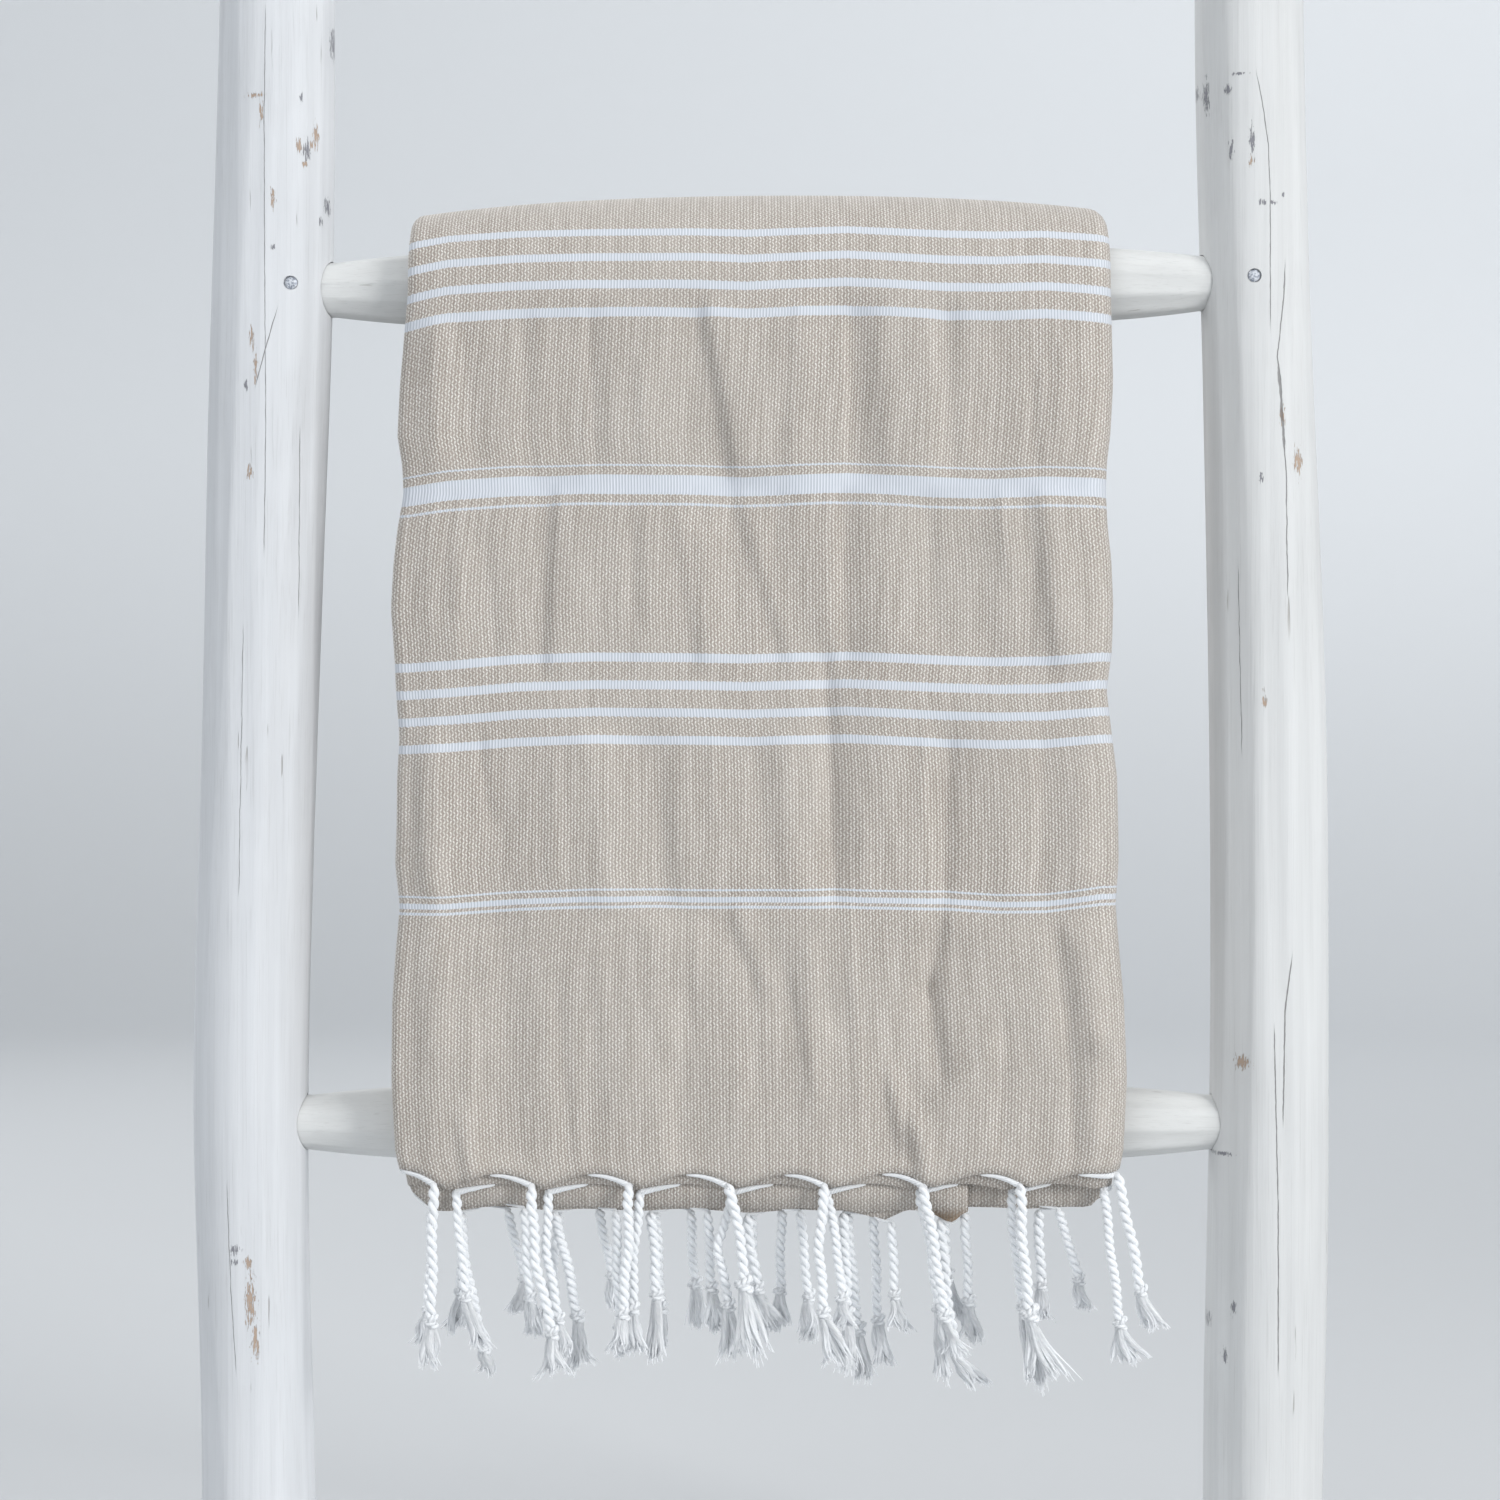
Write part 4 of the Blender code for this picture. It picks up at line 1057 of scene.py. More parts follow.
def make_ladder():
    left_wood = wood_material("white painted pole left", GRAIN_UP, LEFT_PAINT, LEFT_MARKS)
    right_wood = wood_material("white painted pole right", GRAIN_UP, RIGHT_PAINT, RIGHT_MARKS)
    rung_wood = wood_material("white painted rung", GRAIN_ACROSS, RUNG_PAINT)
    left = make_rail("rail_left_wood", LEFT_RAIL, LEFT_FLATS, left_wood)
    right = make_rail("rail_right_wood", RIGHT_RAIL, RIGHT_FLATS, right_wood)
    for rail, side, nail in ((left, -1, LEFT_NAIL), (right, 1, RIGHT_NAIL)):
        cut_sockets(rail, side)
        cut_nail_hole(rail, nail, NAIL_SEAT_RADIUS, -BEFORE_RAIL, FIT - nail.seat, 40)
        cut_nail_hole(rail, nail, NAIL_SHANK_RADIUS, -BEFORE_RAIL, -SHANK_HOLE_END, 16)
        finish_hard_edges(rail, RAIL_SHARP)
        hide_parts("rail_left" if side < 0 else "rail_right")
        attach(rail, "root")
    for rung, turn_by in RUNG_TURNS.items():
        made = make_rung(rung, turn_by, rung_wood)
        finish_hard_edges(made, RUNG_SHARP)
        if rung is UPPER_RUNG:
            for nail in (LEFT_NAIL, RIGHT_NAIL):
                cut_nail_hole(made, nail, NAIL_SHANK_RADIUS, -BEFORE_RUNG, NAIL_END, 16)
        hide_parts(rung.name)
        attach(made, "root")
    steel = nail_material()
    for nail in (LEFT_NAIL, RIGHT_NAIL):
        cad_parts[nail.name].data.materials[0] = steel


# ---------------------------------------------------------------- towel
def across(u, half, left, right, pitch):
    """x, and the layer counted from the rung, for cloth that lies u from the left third's edge."""
    left_radius = LEFT_FOLD - half
    right_radius = RIGHT_FOLD - half
    left_end = left + LEFT_FOLD * pitch
    right_end = right - RIGHT_FOLD * pitch
    left_turn = np.pi * (u - LEFT_BACK) / (LEFT_FRONT - LEFT_BACK)
    right_turn = np.pi * (u - RIGHT_FRONT) / (RIGHT_BACK - RIGHT_FRONT)
    share = (u - LEFT_FRONT) / (RIGHT_FRONT - LEFT_FRONT)
    zones = (u <= LEFT_BACK, u < LEFT_FRONT, u <= RIGHT_FRONT, u < RIGHT_BACK)
    x = np.select(
        zones,
        (
            left_end + LEFT_BACK - u,
            left_end - left_radius * pitch * np.sin(left_turn),
            blend(left_end, right_end, share),
            right_end + right_radius * pitch * np.sin(right_turn),
        ),
        right_end - (u - RIGHT_BACK),
    )
    flat = np.zeros_like(u)
    level = np.select(
        zones,
        (
            LEFT_FOLD_LEVEL - left_radius + flat,
            LEFT_FOLD_LEVEL - left_radius * np.cos(left_turn),
            TOP_LEVEL - half + flat,
            RIGHT_FOLD_LEVEL + right_radius * np.cos(right_turn),
        ),
        RIGHT_FOLD_LEVEL - right_radius + flat,
    )
    return x, level


def past_fold(u):
    return np.maximum(np.maximum(LEFT_TIP - u, u - RIGHT_TIP), 0.0)


def hem_height(u, half):
    """The hem is drawn down at each tassel and rises between them. The hidden thirds hang lower."""
    if half == 0:
        turn = np.mod((u - OUTER_ROW.first) / OUTER_ROW.spacing - HEM_ARCH_SHIFT, 1.0) ** HEM_ARCH_LEAN
        drop, arch, lift = HEM_DIP, HEM_ARCH, HEM_CORNER_LIFT
    else:
        turn = np.mod((u - INNER_ROW.first) / INNER_ROW.spacing + HEM_INNER_ARCH_SHIFT, 1.0)
        drop, arch, lift = HEM_DIP + HEM_INNER_DROP, HEM_INNER_ARCH, HEM_INNER_CORNER_LIFT
    rise = np.sin(np.pi * turn)
    from_fold = np.minimum(np.abs(u - LEFT_TIP), np.abs(u - RIGHT_TIP))
    level = 1 - smoothstep(from_fold / HEM_CORNER_REACH)
    front = blend(arch * rise, lift, level) - drop
    side = HEM_SIDE_ARCH * rise - HEM_SIDE_DROP + HEM_SIDE_INNER_RISE * half
    for dip in HEM_DIPS:
        reach = np.where(u < dip.u, dip.before, dip.after)
        side = side - dip.drop * (1 - smoothstep(np.abs(u - dip.u) / reach))
    free = FREE_CORNER_DROP * (1 - smoothstep(u / FREE_CORNER_REACH))
    rounded = smoothstep(u / FREE_CORNER_ROUND)
    side = side - free * (FREE_CORNER_TIP + (1 - FREE_CORNER_TIP) * rounded)
    return HEM + blend(front, side, smoothstep(past_fold(u) / HEM_SIDE_REACH))


def outline_at(height):
    heights, *sides = zip(*OUTLINE)
    return [np.interp(height, heights, side) for side in sides]


def small_creases(seed, zones):
    """Shallow creases at chance places, all of them in the plain stretches between stripes."""
    chance = random.Random(seed)
    creases = []
    for zone in zones:
        tall = zone.top - zone.bottom
        for _ in range(SMALL_CREASES):
            top = zone.top - chance.uniform(*SMALL_TOP) * tall
            x = chance.uniform(*SMALL_X)
            creases.append(Crease(
                top, max(top - chance.uniform(*SMALL_LENGTH) * tall, zone.bottom),
                x, x + chance.uniform(*SMALL_SLANT),
                chance.uniform(*SMALL_LEFT), chance.uniform(*SMALL_RIGHT),
                chance.uniform(*SMALL_RISE) * chance.choice((-1, 1)),
            ))
    return tuple(creases)


def along_fold(fold, x, height, fade):
    """How far x is from a fold's middle, and how much of the fold is left at that height."""
    share = np.clip((fold.top - height) / (fold.top - fold.bottom), 0.0, 1.0)
    past = np.maximum(np.maximum(height - fold.top, fold.bottom - height), 0.0)
    return x - blend(fold.x_top, fold.x_bottom, share), 1 - smoothstep(past / fade)


def folds(x, height, swell, top, bottom, troughs, creases):
    """How far a hanging side of the towel stands out, with the folds that run down it."""
    fade_top = smoothstep((top + SWELL_FADE - height) / SWELL_FADE)
    fade_bottom = smoothstep((height - bottom + SWELL_FADE) / SWELL_FADE)
    fade_side = smoothstep((HALF_SPAN - np.abs(x)) / SWELL_SIDE)
    out = np.full_like(x, swell)
    for trough in troughs:
        away, kept = along_fold(trough, x, height, TROUGH_FADE)
        out = out - trough.depth * kept * np.exp(-((away / trough.half_width) ** 2))
    out = np.maximum(out, -TROUGH_LIMIT) * fade_top * fade_bottom * fade_side
    fine = ripple(x, height)
    for crease in creases:
        away, kept = along_fold(crease, x, height, CREASE_FADE)
        width = np.where(away < 0, crease.left, crease.right)
        fine = fine + crease.rise * kept * np.exp(-((away / width) ** 2))
    return out + CREASE_STRENGTH * fine * smoothstep((HALF_SPAN - np.abs(x)) / CREASE_SIDE)


def ripple(x, height):
    """Slight unevenness, far smaller than the folds."""
    wave = np.sin(61 * x + 9 * height + 0.7) * np.sin(17 * height + 21 * x)
    wave = wave + 0.6 * np.sin(127 * x - 14 * height) * np.sin(43 * height + 1.9)
    return RIPPLE * wave


def pitch_on_rung(x):
    middle = 1 - np.minimum(np.abs(x) / HALF_SPAN, 1.0) ** 2
    return blend(PITCH_ON_RUNG_EDGE, PITCH_ON_RUNG_MIDDLE, middle)


def depth_on_rung(x):
    return rung_radius(UPPER_RUNG, x) + RUNG_CLEARANCE + CLOTH / 2


def towards_hem(on_rung, flap, hem, share, settled):
    """A value that goes from the rung's to the flap's, settled at some share, and on to the hem's."""
    value = blend(on_rung, flap, smoothstep(share / settled))
    return blend(value, hem, smoothstep((share - HEM_SHARE) / (1 - HEM_SHARE)))


def flap_pitch(x, share):
    return towards_hem(pitch_on_rung(x), PITCH_FLAP, PITCH_HEM, share, PITCH_SETTLED)


def flap_depth(x, share):
    return towards_hem(depth_on_rung(x), FLAP_DEPTH, HEM_DEPTH, share, DEPTH_SETTLED)


def sag_at(x, height):
    """How far below its level the cloth has sagged, which shows in its stripes."""
    xs, *sags = zip(*STRIPE_SAGS)
    sag = 0.0
    for start, end, values in zip(SAG_HEIGHTS, SAG_HEIGHTS[1:], reversed(sags)):
        sag = blend(sag, np.interp(x, xs, values), smoothstep((height - start) / (end - start)))
    return sag


FRONT_CREASES = CREASES + small_creases(FRONT_SEED, PLAIN_ZONES)
BACK_CREASES = small_creases(BACK_SEED, BACK_ZONES)


def front_point(u, half, share):
    """The front flap's points at u, and how far along the cloth they lie from its end."""
    hem = hem_height(u, half)
    height = blend(rung_height(UPPER_RUNG, 0.0), hem, share)
    left, right = outline_at(height)
    x, level = across(u, half, left, right, flap_pitch(HALF_SPAN, share))
    height = blend(rung_height(UPPER_RUNG, x), hem, share)
    depth = flap_depth(x, share) + level * flap_pitch(x, share)
    stands = folds(x, height, SWELL, SWELL_TOP, SWELL_BOTTOM, TROUGHS, FRONT_CREASES)
    depth = depth + stands * level / TOP_LEVEL
    along = height - HEM + sag_at(x, height)
    return np.stack([x, LADDER_Y - depth, height], 1), along


def rung_point(u, half, turn):
    """Points over the rung: turn is 0 at the front and pi at the back."""
    x, level = across(u, half, OUTLINE[-1].left, OUTLINE[-1].right, PITCH_ON_RUNG_EDGE)
    radius = depth_on_rung(x) + level * pitch_on_rung(x)
    centre = rung_height(UPPER_RUNG, x)
    along = centre - HEM + sag_at(x, centre) + radius * turn
    points = np.stack([x, LADDER_Y - radius * np.cos(turn), centre + radius * np.sin(turn)], 1)
    return points, along


def back_point(u, half, share, below=0.0):
    """Points of the back flap, at a share of the way from the rung down to its bottom fold."""
    pitch = blend(PITCH_ON_RUNG_EDGE, PITCH_FLAP, share)
    x, level = across(u, half, OUTLINE[-1].left, OUTLINE[-1].right, pitch)
    wave = BACK_WAVE * np.sin(47 * u) * np.sin(19 * u + 1.0)
    bottom = BACK_BOTTOM - BACK_SLANT * past_fold(u) + wave
    centre = rung_height(UPPER_RUNG, x)
    height = blend(centre, bottom, share) - below
    spread = blend(pitch_on_rung(x), PITCH_FLAP, smoothstep(share / BACK_PITCH_SETTLED))
    depth = blend(depth_on_rung(x), FLAP_DEPTH, smoothstep(share / DEPTH_SETTLED)) + level * spread
    loose = smoothstep((level - FIRM_LEVEL) / (TOP_LEVEL - FIRM_LEVEL))
    stands = folds(x, height, BACK_SWELL, SWELL_TOP, BACK_SWELL_BOTTOM, BACK_TROUGHS, BACK_CREASES)
    depth = depth + loose * stands
    radius = depth_on_rung(x) + level * pitch_on_rung(x)
    along = centre - HEM + sag_at(x, centre) + radius * np.pi + centre - height
    return np.stack([x, LADDER_Y + depth, height], 1), along


# The cloth's columns: each stretch ends at u and has a number of them. They lie closest on the front.
Stretch = namedtuple("Stretch", "end columns")
STRETCHES = (
    Stretch(0.030, 12),
    Stretch(0.2357, 22),
    Stretch(LEFT_BACK, 6),
    Stretch(LEFT_FRONT, 8),
    Stretch(RIGHT_FRONT, 192),
    Stretch(RIGHT_BACK, 8),
    Stretch(0.6413, 6),
    Stretch(0.890, 20),
    Stretch(TOWEL_WIDTH, 4),
)
# The cloth's rows, with the coarser ones behind and on the inner half.
FRONT_ROWS = 97
RUNG_ROWS = 19
BACK_ROWS = 45
TURN_ROWS = 6
INNER_BACK_ROWS = 23
INNER_RUNG_ROWS = 11
INNER_FRONT_ROWS = 35


def towel_columns():
    columns = [0.0]
    for stretch in STRETCHES:
        columns += list(np.linspace(columns[-1], stretch.end, stretch.columns + 1)[1:])
    return np.array(columns)


def shifted(faces, first):
    return [tuple(first + corner for corner in face) for face in faces]


def make_towel():
    """One sheet from hem to hem. Behind the rung it goes on with every second one of its columns."""
    u = towel_columns()
    fine = [front_point(u, 0, share) for share in np.linspace(1.0, 0.0, FRONT_ROWS)]
    fine += [rung_point(u, 0, turn) for turn in np.linspace(0, math.pi, RUNG_ROWS)[1:-1]]
    half_u = u[::2]
    back = [back_point(half_u, 0, share) for share in np.linspace(0.0, 1.0, BACK_ROWS)]
    inner = [back_point(half_u, 1, share) for share in np.linspace(1.0, 0.0, INNER_BACK_ROWS)]
    inner += [rung_point(half_u, 1, turn) for turn in np.linspace(math.pi, 0, INNER_RUNG_ROWS)[1:-1]]
    inner += [front_point(half_u, 1, share) for share in np.linspace(0.0, 1.0, INNER_FRONT_ROWS)]
    inner = [(points, TOWEL_LENGTH - along) for points, along in inner]
    outer_end = back[-1][1]
    for step in range(1, TURN_ROWS):
        turn = math.pi * step / TURN_ROWS
        half = (1 - math.cos(turn)) / 2
        points, _ = back_point(half_u, half, 1.0, PITCH_FLAP / 2 * math.sin(turn))
        back.append((points, blend(outer_end, inner[0][1], step / TURN_ROWS)))
    coarse = back + inner
    points = np.concatenate([row for row, _ in fine + coarse])
    flat = [np.stack([u, along], 1) for _, along in fine]
    flat += [np.stack([half_u, along], 1) for _, along in coarse]
    first = len(fine) * len(u)
    faces = grid_faces(len(fine), len(u)) + shifted(grid_faces(len(coarse), len(half_u)), first)
    last = first - len(u)
    for k in range(len(half_u) - 1):
        left, middle, right = last + 2 * k, last + 2 * k + 1, last + 2 * k + 2
        below, beside = first + k, first + k + 1
        faces += [(left, middle, below), (middle, right, beside), (middle, beside, below)]
    towel = add_mesh("towel_cloth", points, faces, cloth_material(), np.concatenate(flat))
    thicken = towel.modifiers.new("thickness", "SOLIDIFY")
    thicken.thickness = CLOTH
    thicken.offset = 0.0
    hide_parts("towel")
    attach(towel, "root")
    return towel


# ---------------------------------------------------------------- tassels
PLY_SWELL = 1.16
SIDEWAYS = (0.0, 1.0, 0.13)


def along_path(path):
    """How far along each point of a path lies, and two ways there that are square to the path."""
    ahead = np.gradient(path, axis=0)
    ahead /= np.linalg.norm(ahead, axis=1, keepdims=True)
    steps = np.linalg.norm(np.diff(path, axis=0), axis=1)
    out = np.cross(ahead[0], SIDEWAYS)
    frames = []
    for forward in ahead:
        out = out - forward * float(out @ forward)
        out /= np.linalg.norm(out)
        frames.append((out, np.cross(forward, out)))
    return np.concatenate([[0.0], np.cumsum(steps)]), frames


def turned_by(turn, one, two):
    return one * math.cos(turn) + two * math.sin(turn)


class Yarn:
    """Collects tubes of yarn into one mesh, with a map that runs round and along each tube."""

    def __init__(self):
        self.points = []
        self.faces = []
        self.flat = []
        self.smooth = []

    def tube(self, path, radii, sides):
        path = np.asarray(path, dtype=float)
        first = len(self.points)
        for place, radius, far, frame_here in zip(path, radii, *along_path(path)):
            for side in range(sides):
                reach = turned_by(2 * math.pi * side / sides, *frame_here)
                self.points.append(place + radius * reach)
                self.flat.append((side / sides, far))
        faces = [(a, d, c, b) for a, b, c, d in grid_faces(len(path), sides, closed=True)]
        last = (len(path) - 1) * sides
        faces += [tuple(range(sides)), tuple(reversed(range(last, last + sides)))]
        self.faces += shifted(faces, first)
        self.smooth += [sides > 3] * len(faces)

    def rope(self, path, radius, plies, lay, turned, sides):
        """Plies that twist round each other. Radius is the rope's own at each point of its path."""
        path = np.asarray(path, dtype=float)
        radius = np.asarray(radius, dtype=float)
        along, frames = along_path(path)
        share = math.sin(math.pi / plies) / (1 + math.sin(math.pi / plies))
        for ply in range(plies):
            strand = []
            for place, far, size, frame_here in zip(path, along, radius, frames):
                turn = turned + 2 * math.pi * (ply / plies - far / lay)
                strand.append(place + size * (1 - share) * turned_by(turn, *frame_here))
            self.tube(strand, radius * share * PLY_SWELL, sides)

    def make(self, name, finish):
        """The yarn's mesh. Its finest fibres have three sides each, and are shaded flat."""
        made = add_mesh(name, self.points, self.faces, finish, self.flat)
        made.data.polygons.foreach_set("use_smooth", self.smooth)
        return made


def smooth_path(points, count):
    """A smooth curve through the points, as evenly spaced as its own steps allow."""
    points = np.asarray(points, dtype=float)
    padded = np.concatenate([[2 * points[0] - points[1]], points, [2 * points[-1] - points[-2]]])
    lengths = np.linalg.norm(np.diff(points, axis=0), axis=1)
    made = []
    for k, length in enumerate(lengths):
        before, start, end, after = padded[k : k + 4]
        steps = max(2, round(count * length / lengths.sum()))
        for t in np.arange(steps) / steps:
            square = 2 * before - 5 * start + 4 * end - after
            cube = 3 * start - before - 3 * end + after
            made.append(0.5 * (2 * start + (end - before) * t + square * t**2 + cube * t**3))
    made.append(points[-1])
    return np.array(made)


def hem_line(u, half):
    """The point of the hem at u on one half of the cloth."""
    points, _ = front_point(np.array([float(u)]), half, 1.0)
    return points[0]


ANY_TURN = 6.28
Style = namedtuple("Style", "radius plies lay bundle_side")
OUTER_STYLE = Style(0.00245, 2, 0.0092, -1)
INNER_STYLE = Style(0.00225, 2, 0.0086, 1)
# The warp ends gathered along the hem, from where they start to where the rope takes them up.
BUNDLE_REACH = 0.0185
BUNDLE_PLIES = 4
BUNDLE_LAY = 0.0060
BUNDLE_SIDES = 5
BUNDLE_POINTS = 13
BUNDLE_RINGS = 34
BUNDLE_GROWTH = 0.55
BUNDLE_START_RADIUS = 0.0003
BUNDLE_RADIUS = 0.00165
BUNDLE_END_RADIUS = 0.0012
BUNDLE_END_DROP = 0.0036
HIDDEN_BUNDLE = 0.45
# A rope thickens from its root within a short drop, and wavers a little.
ROPE_SIDES = 8
ROPE_STEP = 0.00062
ROPE_START = 0.0012
ROPE_ROOT = 0.45
ROPE_ROOT_DROP = 0.0026
ROPE_WAVER = 0.0004
ROPE_WAVES = 190
ROPE_POINTS = 9


def add_tassel(yarn, u, half, hang, lean, style, chance):
    """One tassel: warp ends gathered along the hem, a twisted rope, its knot and its loose ends."""
    root = hem_line(u, half)
    in_front = LEFT_FRONT - 0.01 < u < RIGHT_FRONT + 0.01
    bundle_share = 1.0 if in_front else HIDDEN_BUNDLE

    def place(drop):
        drops = (0, hang.knot_drop / 2, hang.knot_drop)
        across_at = np.interp(drop, drops, (0, hang.bend, hang.knot))
        forward = lean.start * smoothstep(drop / LEAN_REACH)
        forward += (lean.end - lean.start) * drop / hang.tip_drop
        return root + (across_at, -forward, -drop)

    bundle = []
    radii = []
    for back in np.linspace(1.0, 0.0, BUNDLE_POINTS):
        grown = (1 - back) ** BUNDLE_GROWTH
        size = blend(BUNDLE_START_RADIUS, BUNDLE_RADIUS * bundle_share, grown)
        hem = hem_line(u + style.bundle_side * BUNDLE_REACH * bundle_share * back, half)
        bundle.append(hem + (0.0, 0.0, -size - 0.0001))
        radii.append(size)
    bundle.append(place(BUNDLE_END_DROP) + (0.0, -0.0003, 0.0))
    radii.append(BUNDLE_END_RADIUS)
    path = smooth_path(bundle, BUNDLE_RINGS)
    size = np.interp(np.linspace(0, 1, len(path)), np.linspace(0, 1, len(radii)), radii)
    yarn.rope(path, size, BUNDLE_PLIES, BUNDLE_LAY, chance.uniform(0, ANY_TURN), BUNDLE_SIDES)

    wave = chance.uniform(0, ANY_TURN)
    rope = []
    for drop in np.linspace(ROPE_START, hang.knot_drop, ROPE_POINTS):
        waver = ROPE_WAVER * math.sin(drop * ROPE_WAVES + wave) * smoothstep(drop / 0.01)
        rope.append(place(drop) + (waver, 0.0, 0.0))
    path = smooth_path(rope, round(hang.knot_drop / ROPE_STEP))
    from_top = rope[0][2] - path[:, 2]
    grown = np.sqrt(smoothstep(from_top / ROPE_ROOT_DROP))
    size = style.radius * (ROPE_ROOT + (1 - ROPE_ROOT) * grown)
    lay = style.lay * chance.uniform(0.85, 1.12)
    yarn.rope(path, size, style.plies, lay, chance.uniform(0, ANY_TURN), ROPE_SIDES)

    knot_at = place(hang.knot_drop)
    tip_at = root + (hang.tip, -lean.end, -hang.tip_drop)
    add_knot(yarn, knot_at, style, hang, chance)
    add_brush(yarn, knot_at, tip_at, hang, chance)


# A knot's two turns: how steeply each crosses and how high it lies. Its core: heights and radii.
KNOT_TURNS = ((0.62, 0.0008), (-0.50, -0.0010))
KNOT_CORE = ((0.0030, 0.0015), (0.0012, 0.0023), (0.0, 0.0024), (-0.0034, 0.0019))
KNOT_REACH = 0.0023
KNOT_DEPTH = 0.7
KNOT_THICKNESS = 0.62
KNOT_LAY = 0.0056
KNOT_RINGS = 27
KNOT_RINGS_OF_TURN = 25
KNOT_START = 1.6
WIDE_BRUSH = 0.010


def add_knot(yarn, centre, style, hang, chance):
    """An overhand knot drawn tight: two turns of the rope that cross in front of it."""
    big = 1.25 if hang.spread > WIDE_BRUSH else chance.uniform(0.92, 1.08)
    thick = KNOT_THICKNESS * style.radius * big
    reach = KNOT_REACH * big
    yaw = chance.uniform(-0.5, 0.5)
    for tilt, lift in KNOT_TURNS:
        tilt *= chance.uniform(0.7, 1.2)
        turn = []
        for k in range(KNOT_RINGS):
            angle = 2 * math.pi * k / KNOT_RINGS_OF_TURN + KNOT_START
            side = reach * math.cos(angle)
            back = KNOT_DEPTH * reach * math.sin(angle)
            turn.append(centre + (
                side * math.cos(yaw) - back * math.sin(yaw),
                side * math.sin(yaw) + back * math.cos(yaw),
                lift * big + tilt * side,
            ))
        yarn.rope(turn, np.full(len(turn), thick), 2, KNOT_LAY, chance.uniform(0, ANY_TURN), 5)
    core = [centre + (0, 0, up) for up, _ in KNOT_CORE]
    yarn.tube(core, [radius * big for _, radius in KNOT_CORE], 9)


LOCKS = 7
FIBRES_OF_LOCK = 10
LOCK_RADIUS = 0.00165
LOCK_PROFILE = (0.80, 1.0, 1.08, 1.12, 1.10, 1.0, 0.84, 0.58, 0.14)
LOCK_DEPTH = 0.0020
LOCK_END = 0.93
FAN_AT_KNOT = 0.0013
BELOW_KNOT = 0.0026
FIBRE_RADII = (0.00034, 0.00040, 0.00042, 0.00040, 0.00036, 0.00030, 0.00018)
FIBRE_SUNK = 0.78
FRAY_ASIDE = 0.0012
FRAY_FORWARD = 0.0008


def add_brush(yarn, knot_at, tip_at, hang, chance):
    """The yarns below a knot: soft locks, each a core with fibres along it that fray at its end."""
    start = knot_at - (0.0, 0.0, BELOW_KNOT)
    reach = tip_at - start
    for lock in range(LOCKS):
        fan = 2 * (lock + chance.uniform(0.1, 0.9)) / LOCKS - 1
        aside = fan * hang.spread * chance.uniform(0.70, 1.05)
        depth = chance.uniform(-1, 1) * LOCK_DEPTH
        length = chance.uniform(0.74, 1.0)
        wave = chance.uniform(0, ANY_TURN)
        sway = chance.uniform(0.0008, 0.0028)
        root = start + (fan * FAN_AT_KNOT, depth * 0.6, chance.uniform(0.0, 0.0012))
        end = start + reach * length + (aside, depth, 0.0)

        def along(t, side=0.0, front=0.0, longer=1.0):
            place = blend(root, blend(root, end, longer), t)
            spread = aside * (t**1.35 - t) + sway * math.sin(4.5 * t + wave) * t
            return place + (spread + side, front, 0.0)

        stops = np.linspace(0, LOCK_END, len(LOCK_PROFILE))
        yarn.tube([along(t) for t in stops], np.array(LOCK_PROFILE) * LOCK_RADIUS, 6)
        for fibre in range(FIBRES_OF_LOCK):
            angle = 2 * math.pi * (fibre + chance.uniform(0, 0.7)) / FIBRES_OF_LOCK
            fray = chance.gauss(0, FRAY_ASIDE), chance.gauss(0, FRAY_FORWARD)
            longer = chance.uniform(0.90, 1.06)
            path = []
            for t in np.linspace(0.04, 1, len(FIBRE_RADII)):
                ring = FIBRE_SUNK * LOCK_RADIUS * np.interp(t, stops, LOCK_PROFILE)
                side = ring * math.cos(angle + t) + fray[0] * t**2
                front = ring * math.sin(angle + t) + fray[1] * t**2
                path.append(along(t, side, front, longer))
            yarn.tube(path, FIBRE_RADII, 3)


def layer_of(index, half):
    if index < FIRST_FRONT_TASSEL:
        return 2 + half
    if index < FIRST_RIGHT_TASSEL:
        return TOP_LEVEL - half
    return half


Fringe = namedtuple("Fringe", "name node row hangs style")
FRINGES = (
    Fringe("outer_tassels", "fringe_outer", OUTER_ROW, OUTER_HANGS, OUTER_STYLE),
    Fringe("inner_tassels", "fringe_inner", INNER_ROW, INNER_HANGS, INNER_STYLE),
)
FRINGE_SEED = 11


def make_fringe(fringe, half, finish):
    chance = random.Random(FRINGE_SEED + half)
    yarn = Yarn()
    for index, hang in enumerate(fringe.hangs):
        u = fringe.row.first + (index - FIRST_FRONT_TASSEL) * fringe.row.spacing
        add_tassel(yarn, u, half, hang, LEANS[layer_of(index, half)], fringe.style, chance)
    made = yarn.make(fringe.name, finish)
    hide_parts(fringe.node)
    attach(made, "root")
    return made


# ---------------------------------------------------------------- floor, backdrop and light
STAGE_RADIUS = 5.2
STAGE_BEND = 1.6
STAGE_TOP = 5.0
STAGE_SIDES = 72
FLOOR_RINGS = (0.4, 1.2, 2.4)
BEND_RINGS = 16


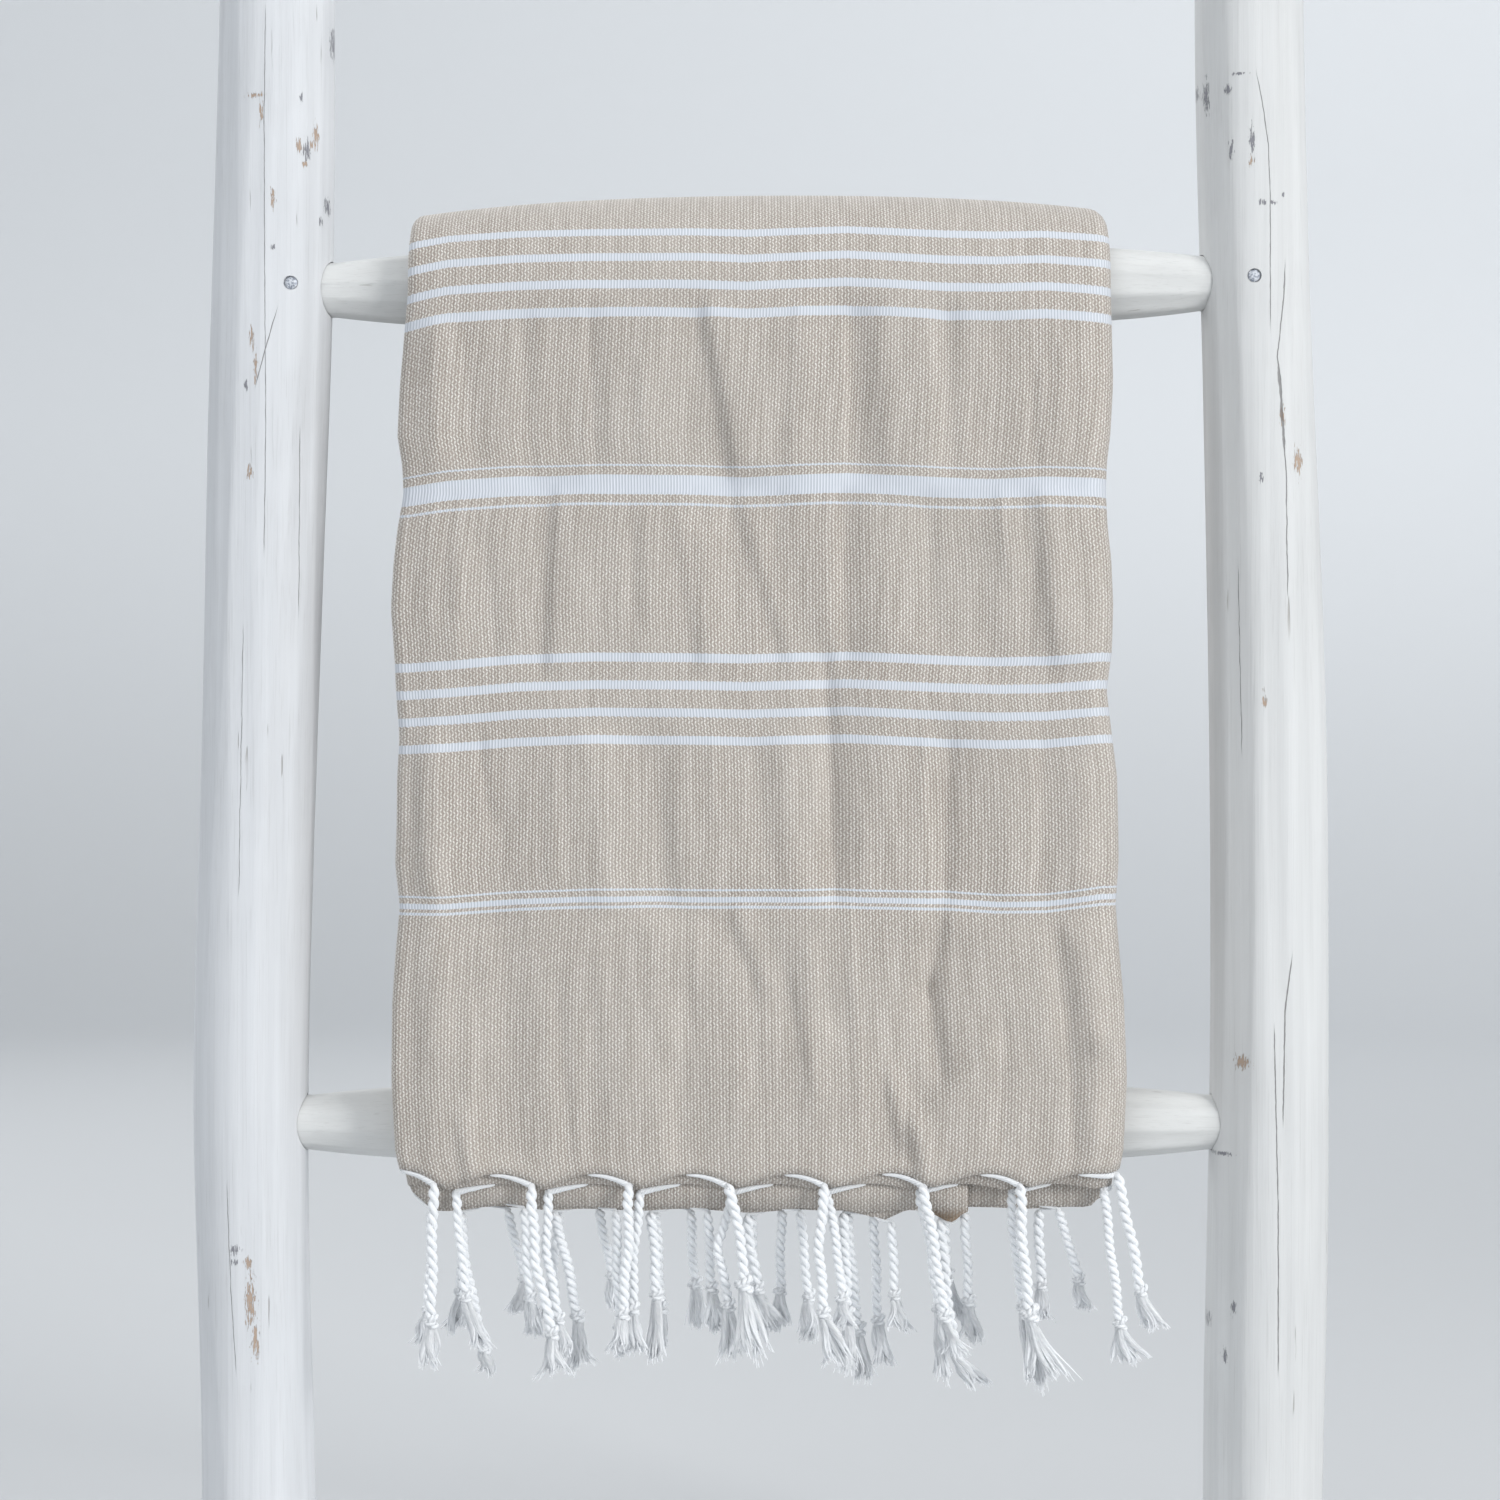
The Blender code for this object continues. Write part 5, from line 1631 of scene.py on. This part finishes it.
def make_stage():
    """A pale floor that curves up into a round backdrop. Its colour is painted shade: darker on the
    floor and low down, paler from 1.2 m up.
    """
    graph = Graph("pale studio with painted shade")
    height = graph.split(graph.place())[2]
    # Painted shade: the colour goes from a darker grey at the floor to a paler one 1.2 m up the
    # backdrop.
    low, high = srgb(208, 210, 212), srgb(232, 234, 236)
    pale = graph.surface({
        "Base Color": graph.mix(graph.step(height, 0.0, 1.2), low, high),
        "Roughness": 0.95,
        "Specular IOR Level": 0.1,
    })
    inner = STAGE_RADIUS - STAGE_BEND
    profile = [(reach, 0.0) for reach in FLOOR_RINGS + (inner,)]
    for k in range(1, BEND_RINGS + 1):
        turn = math.radians(90) * k / BEND_RINGS
        profile.append((inner + STAGE_BEND * math.sin(turn), STAGE_BEND - STAGE_BEND * math.cos(turn)))
    profile.append((STAGE_RADIUS, STAGE_TOP))
    points = []
    for reach, up in profile:
        for side in range(STAGE_SIDES):
            turn = 2 * math.pi * side / STAGE_SIDES
            points.append((reach * math.cos(turn), reach * math.sin(turn), up))
    faces = grid_faces(len(profile), STAGE_SIDES, closed=True)
    faces.append(tuple(reversed(range(STAGE_SIDES))))
    add_mesh("studio_floor", points, faces, pale)


LIGHT_SPREAD = 100
LIGHT_AIM = (0.0, 0.0, 0.42)
WORLD_COLOUR = (0.94, 0.97, 1.0, 1.0)
WORLD_STRENGTH = 0.68
Light = namedtuple("Light", "name place aim size power colour")
LIGHTS = (
    Light("key", (3.3, -3.1, 1.7), LIGHT_AIM, 1.6, 37, (1.0, 0.995, 0.985)),
    Light("fill", (-1.9, -4.0, 1.5), LIGHT_AIM, 2.4, 11, (0.97, 0.985, 1.0)),
    Light("rear", (-1.9, 3.2, 2.9), LIGHT_AIM, 2.2, 21, (1.0, 1.0, 1.0)),
    Light("above", (-0.3, -0.7, 2.9), (0.0, 0.0, 0.75), 1.2, 2.7, (1.0, 1.0, 1.0)),
    Light("wall", (1.6, 1.2, 4.2), (1.4, 5.2, 1.6), 2.0, 27, (0.98, 0.99, 1.0)),
)


def make_light():
    world = bpy.data.worlds.new("studio")
    bpy.context.scene.world = world
    world.use_nodes = True
    back = world.node_tree.nodes["Background"]
    back.inputs["Color"].default_value = WORLD_COLOUR
    back.inputs["Strength"].default_value = WORLD_STRENGTH
    for light in LIGHTS:
        data = bpy.data.lights.new(light.name, "AREA")
        data.shape = "RECTANGLE"
        data.size = data.size_y = light.size
        data.energy = light.power
        data.spread = math.radians(LIGHT_SPREAD)
        data.color = light.colour
        lamp = bpy.data.objects.new(light.name, data)
        bpy.context.scene.collection.objects.link(lamp)
        lamp.location = light.place
        ahead = Vector(light.aim) - Vector(light.place)
        lamp.rotation_euler = ahead.to_track_quat("-Z", "Y").to_euler()
        lamp.visible_camera = False


# ---------------------------------------------------------------- the scene
make_ladder()
towel_piece = make_towel()
white_yarn = yarn_material()
fringes = [make_fringe(fringe, half, white_yarn) for half, fringe in enumerate(FRINGES)]
make_stage()
make_light()
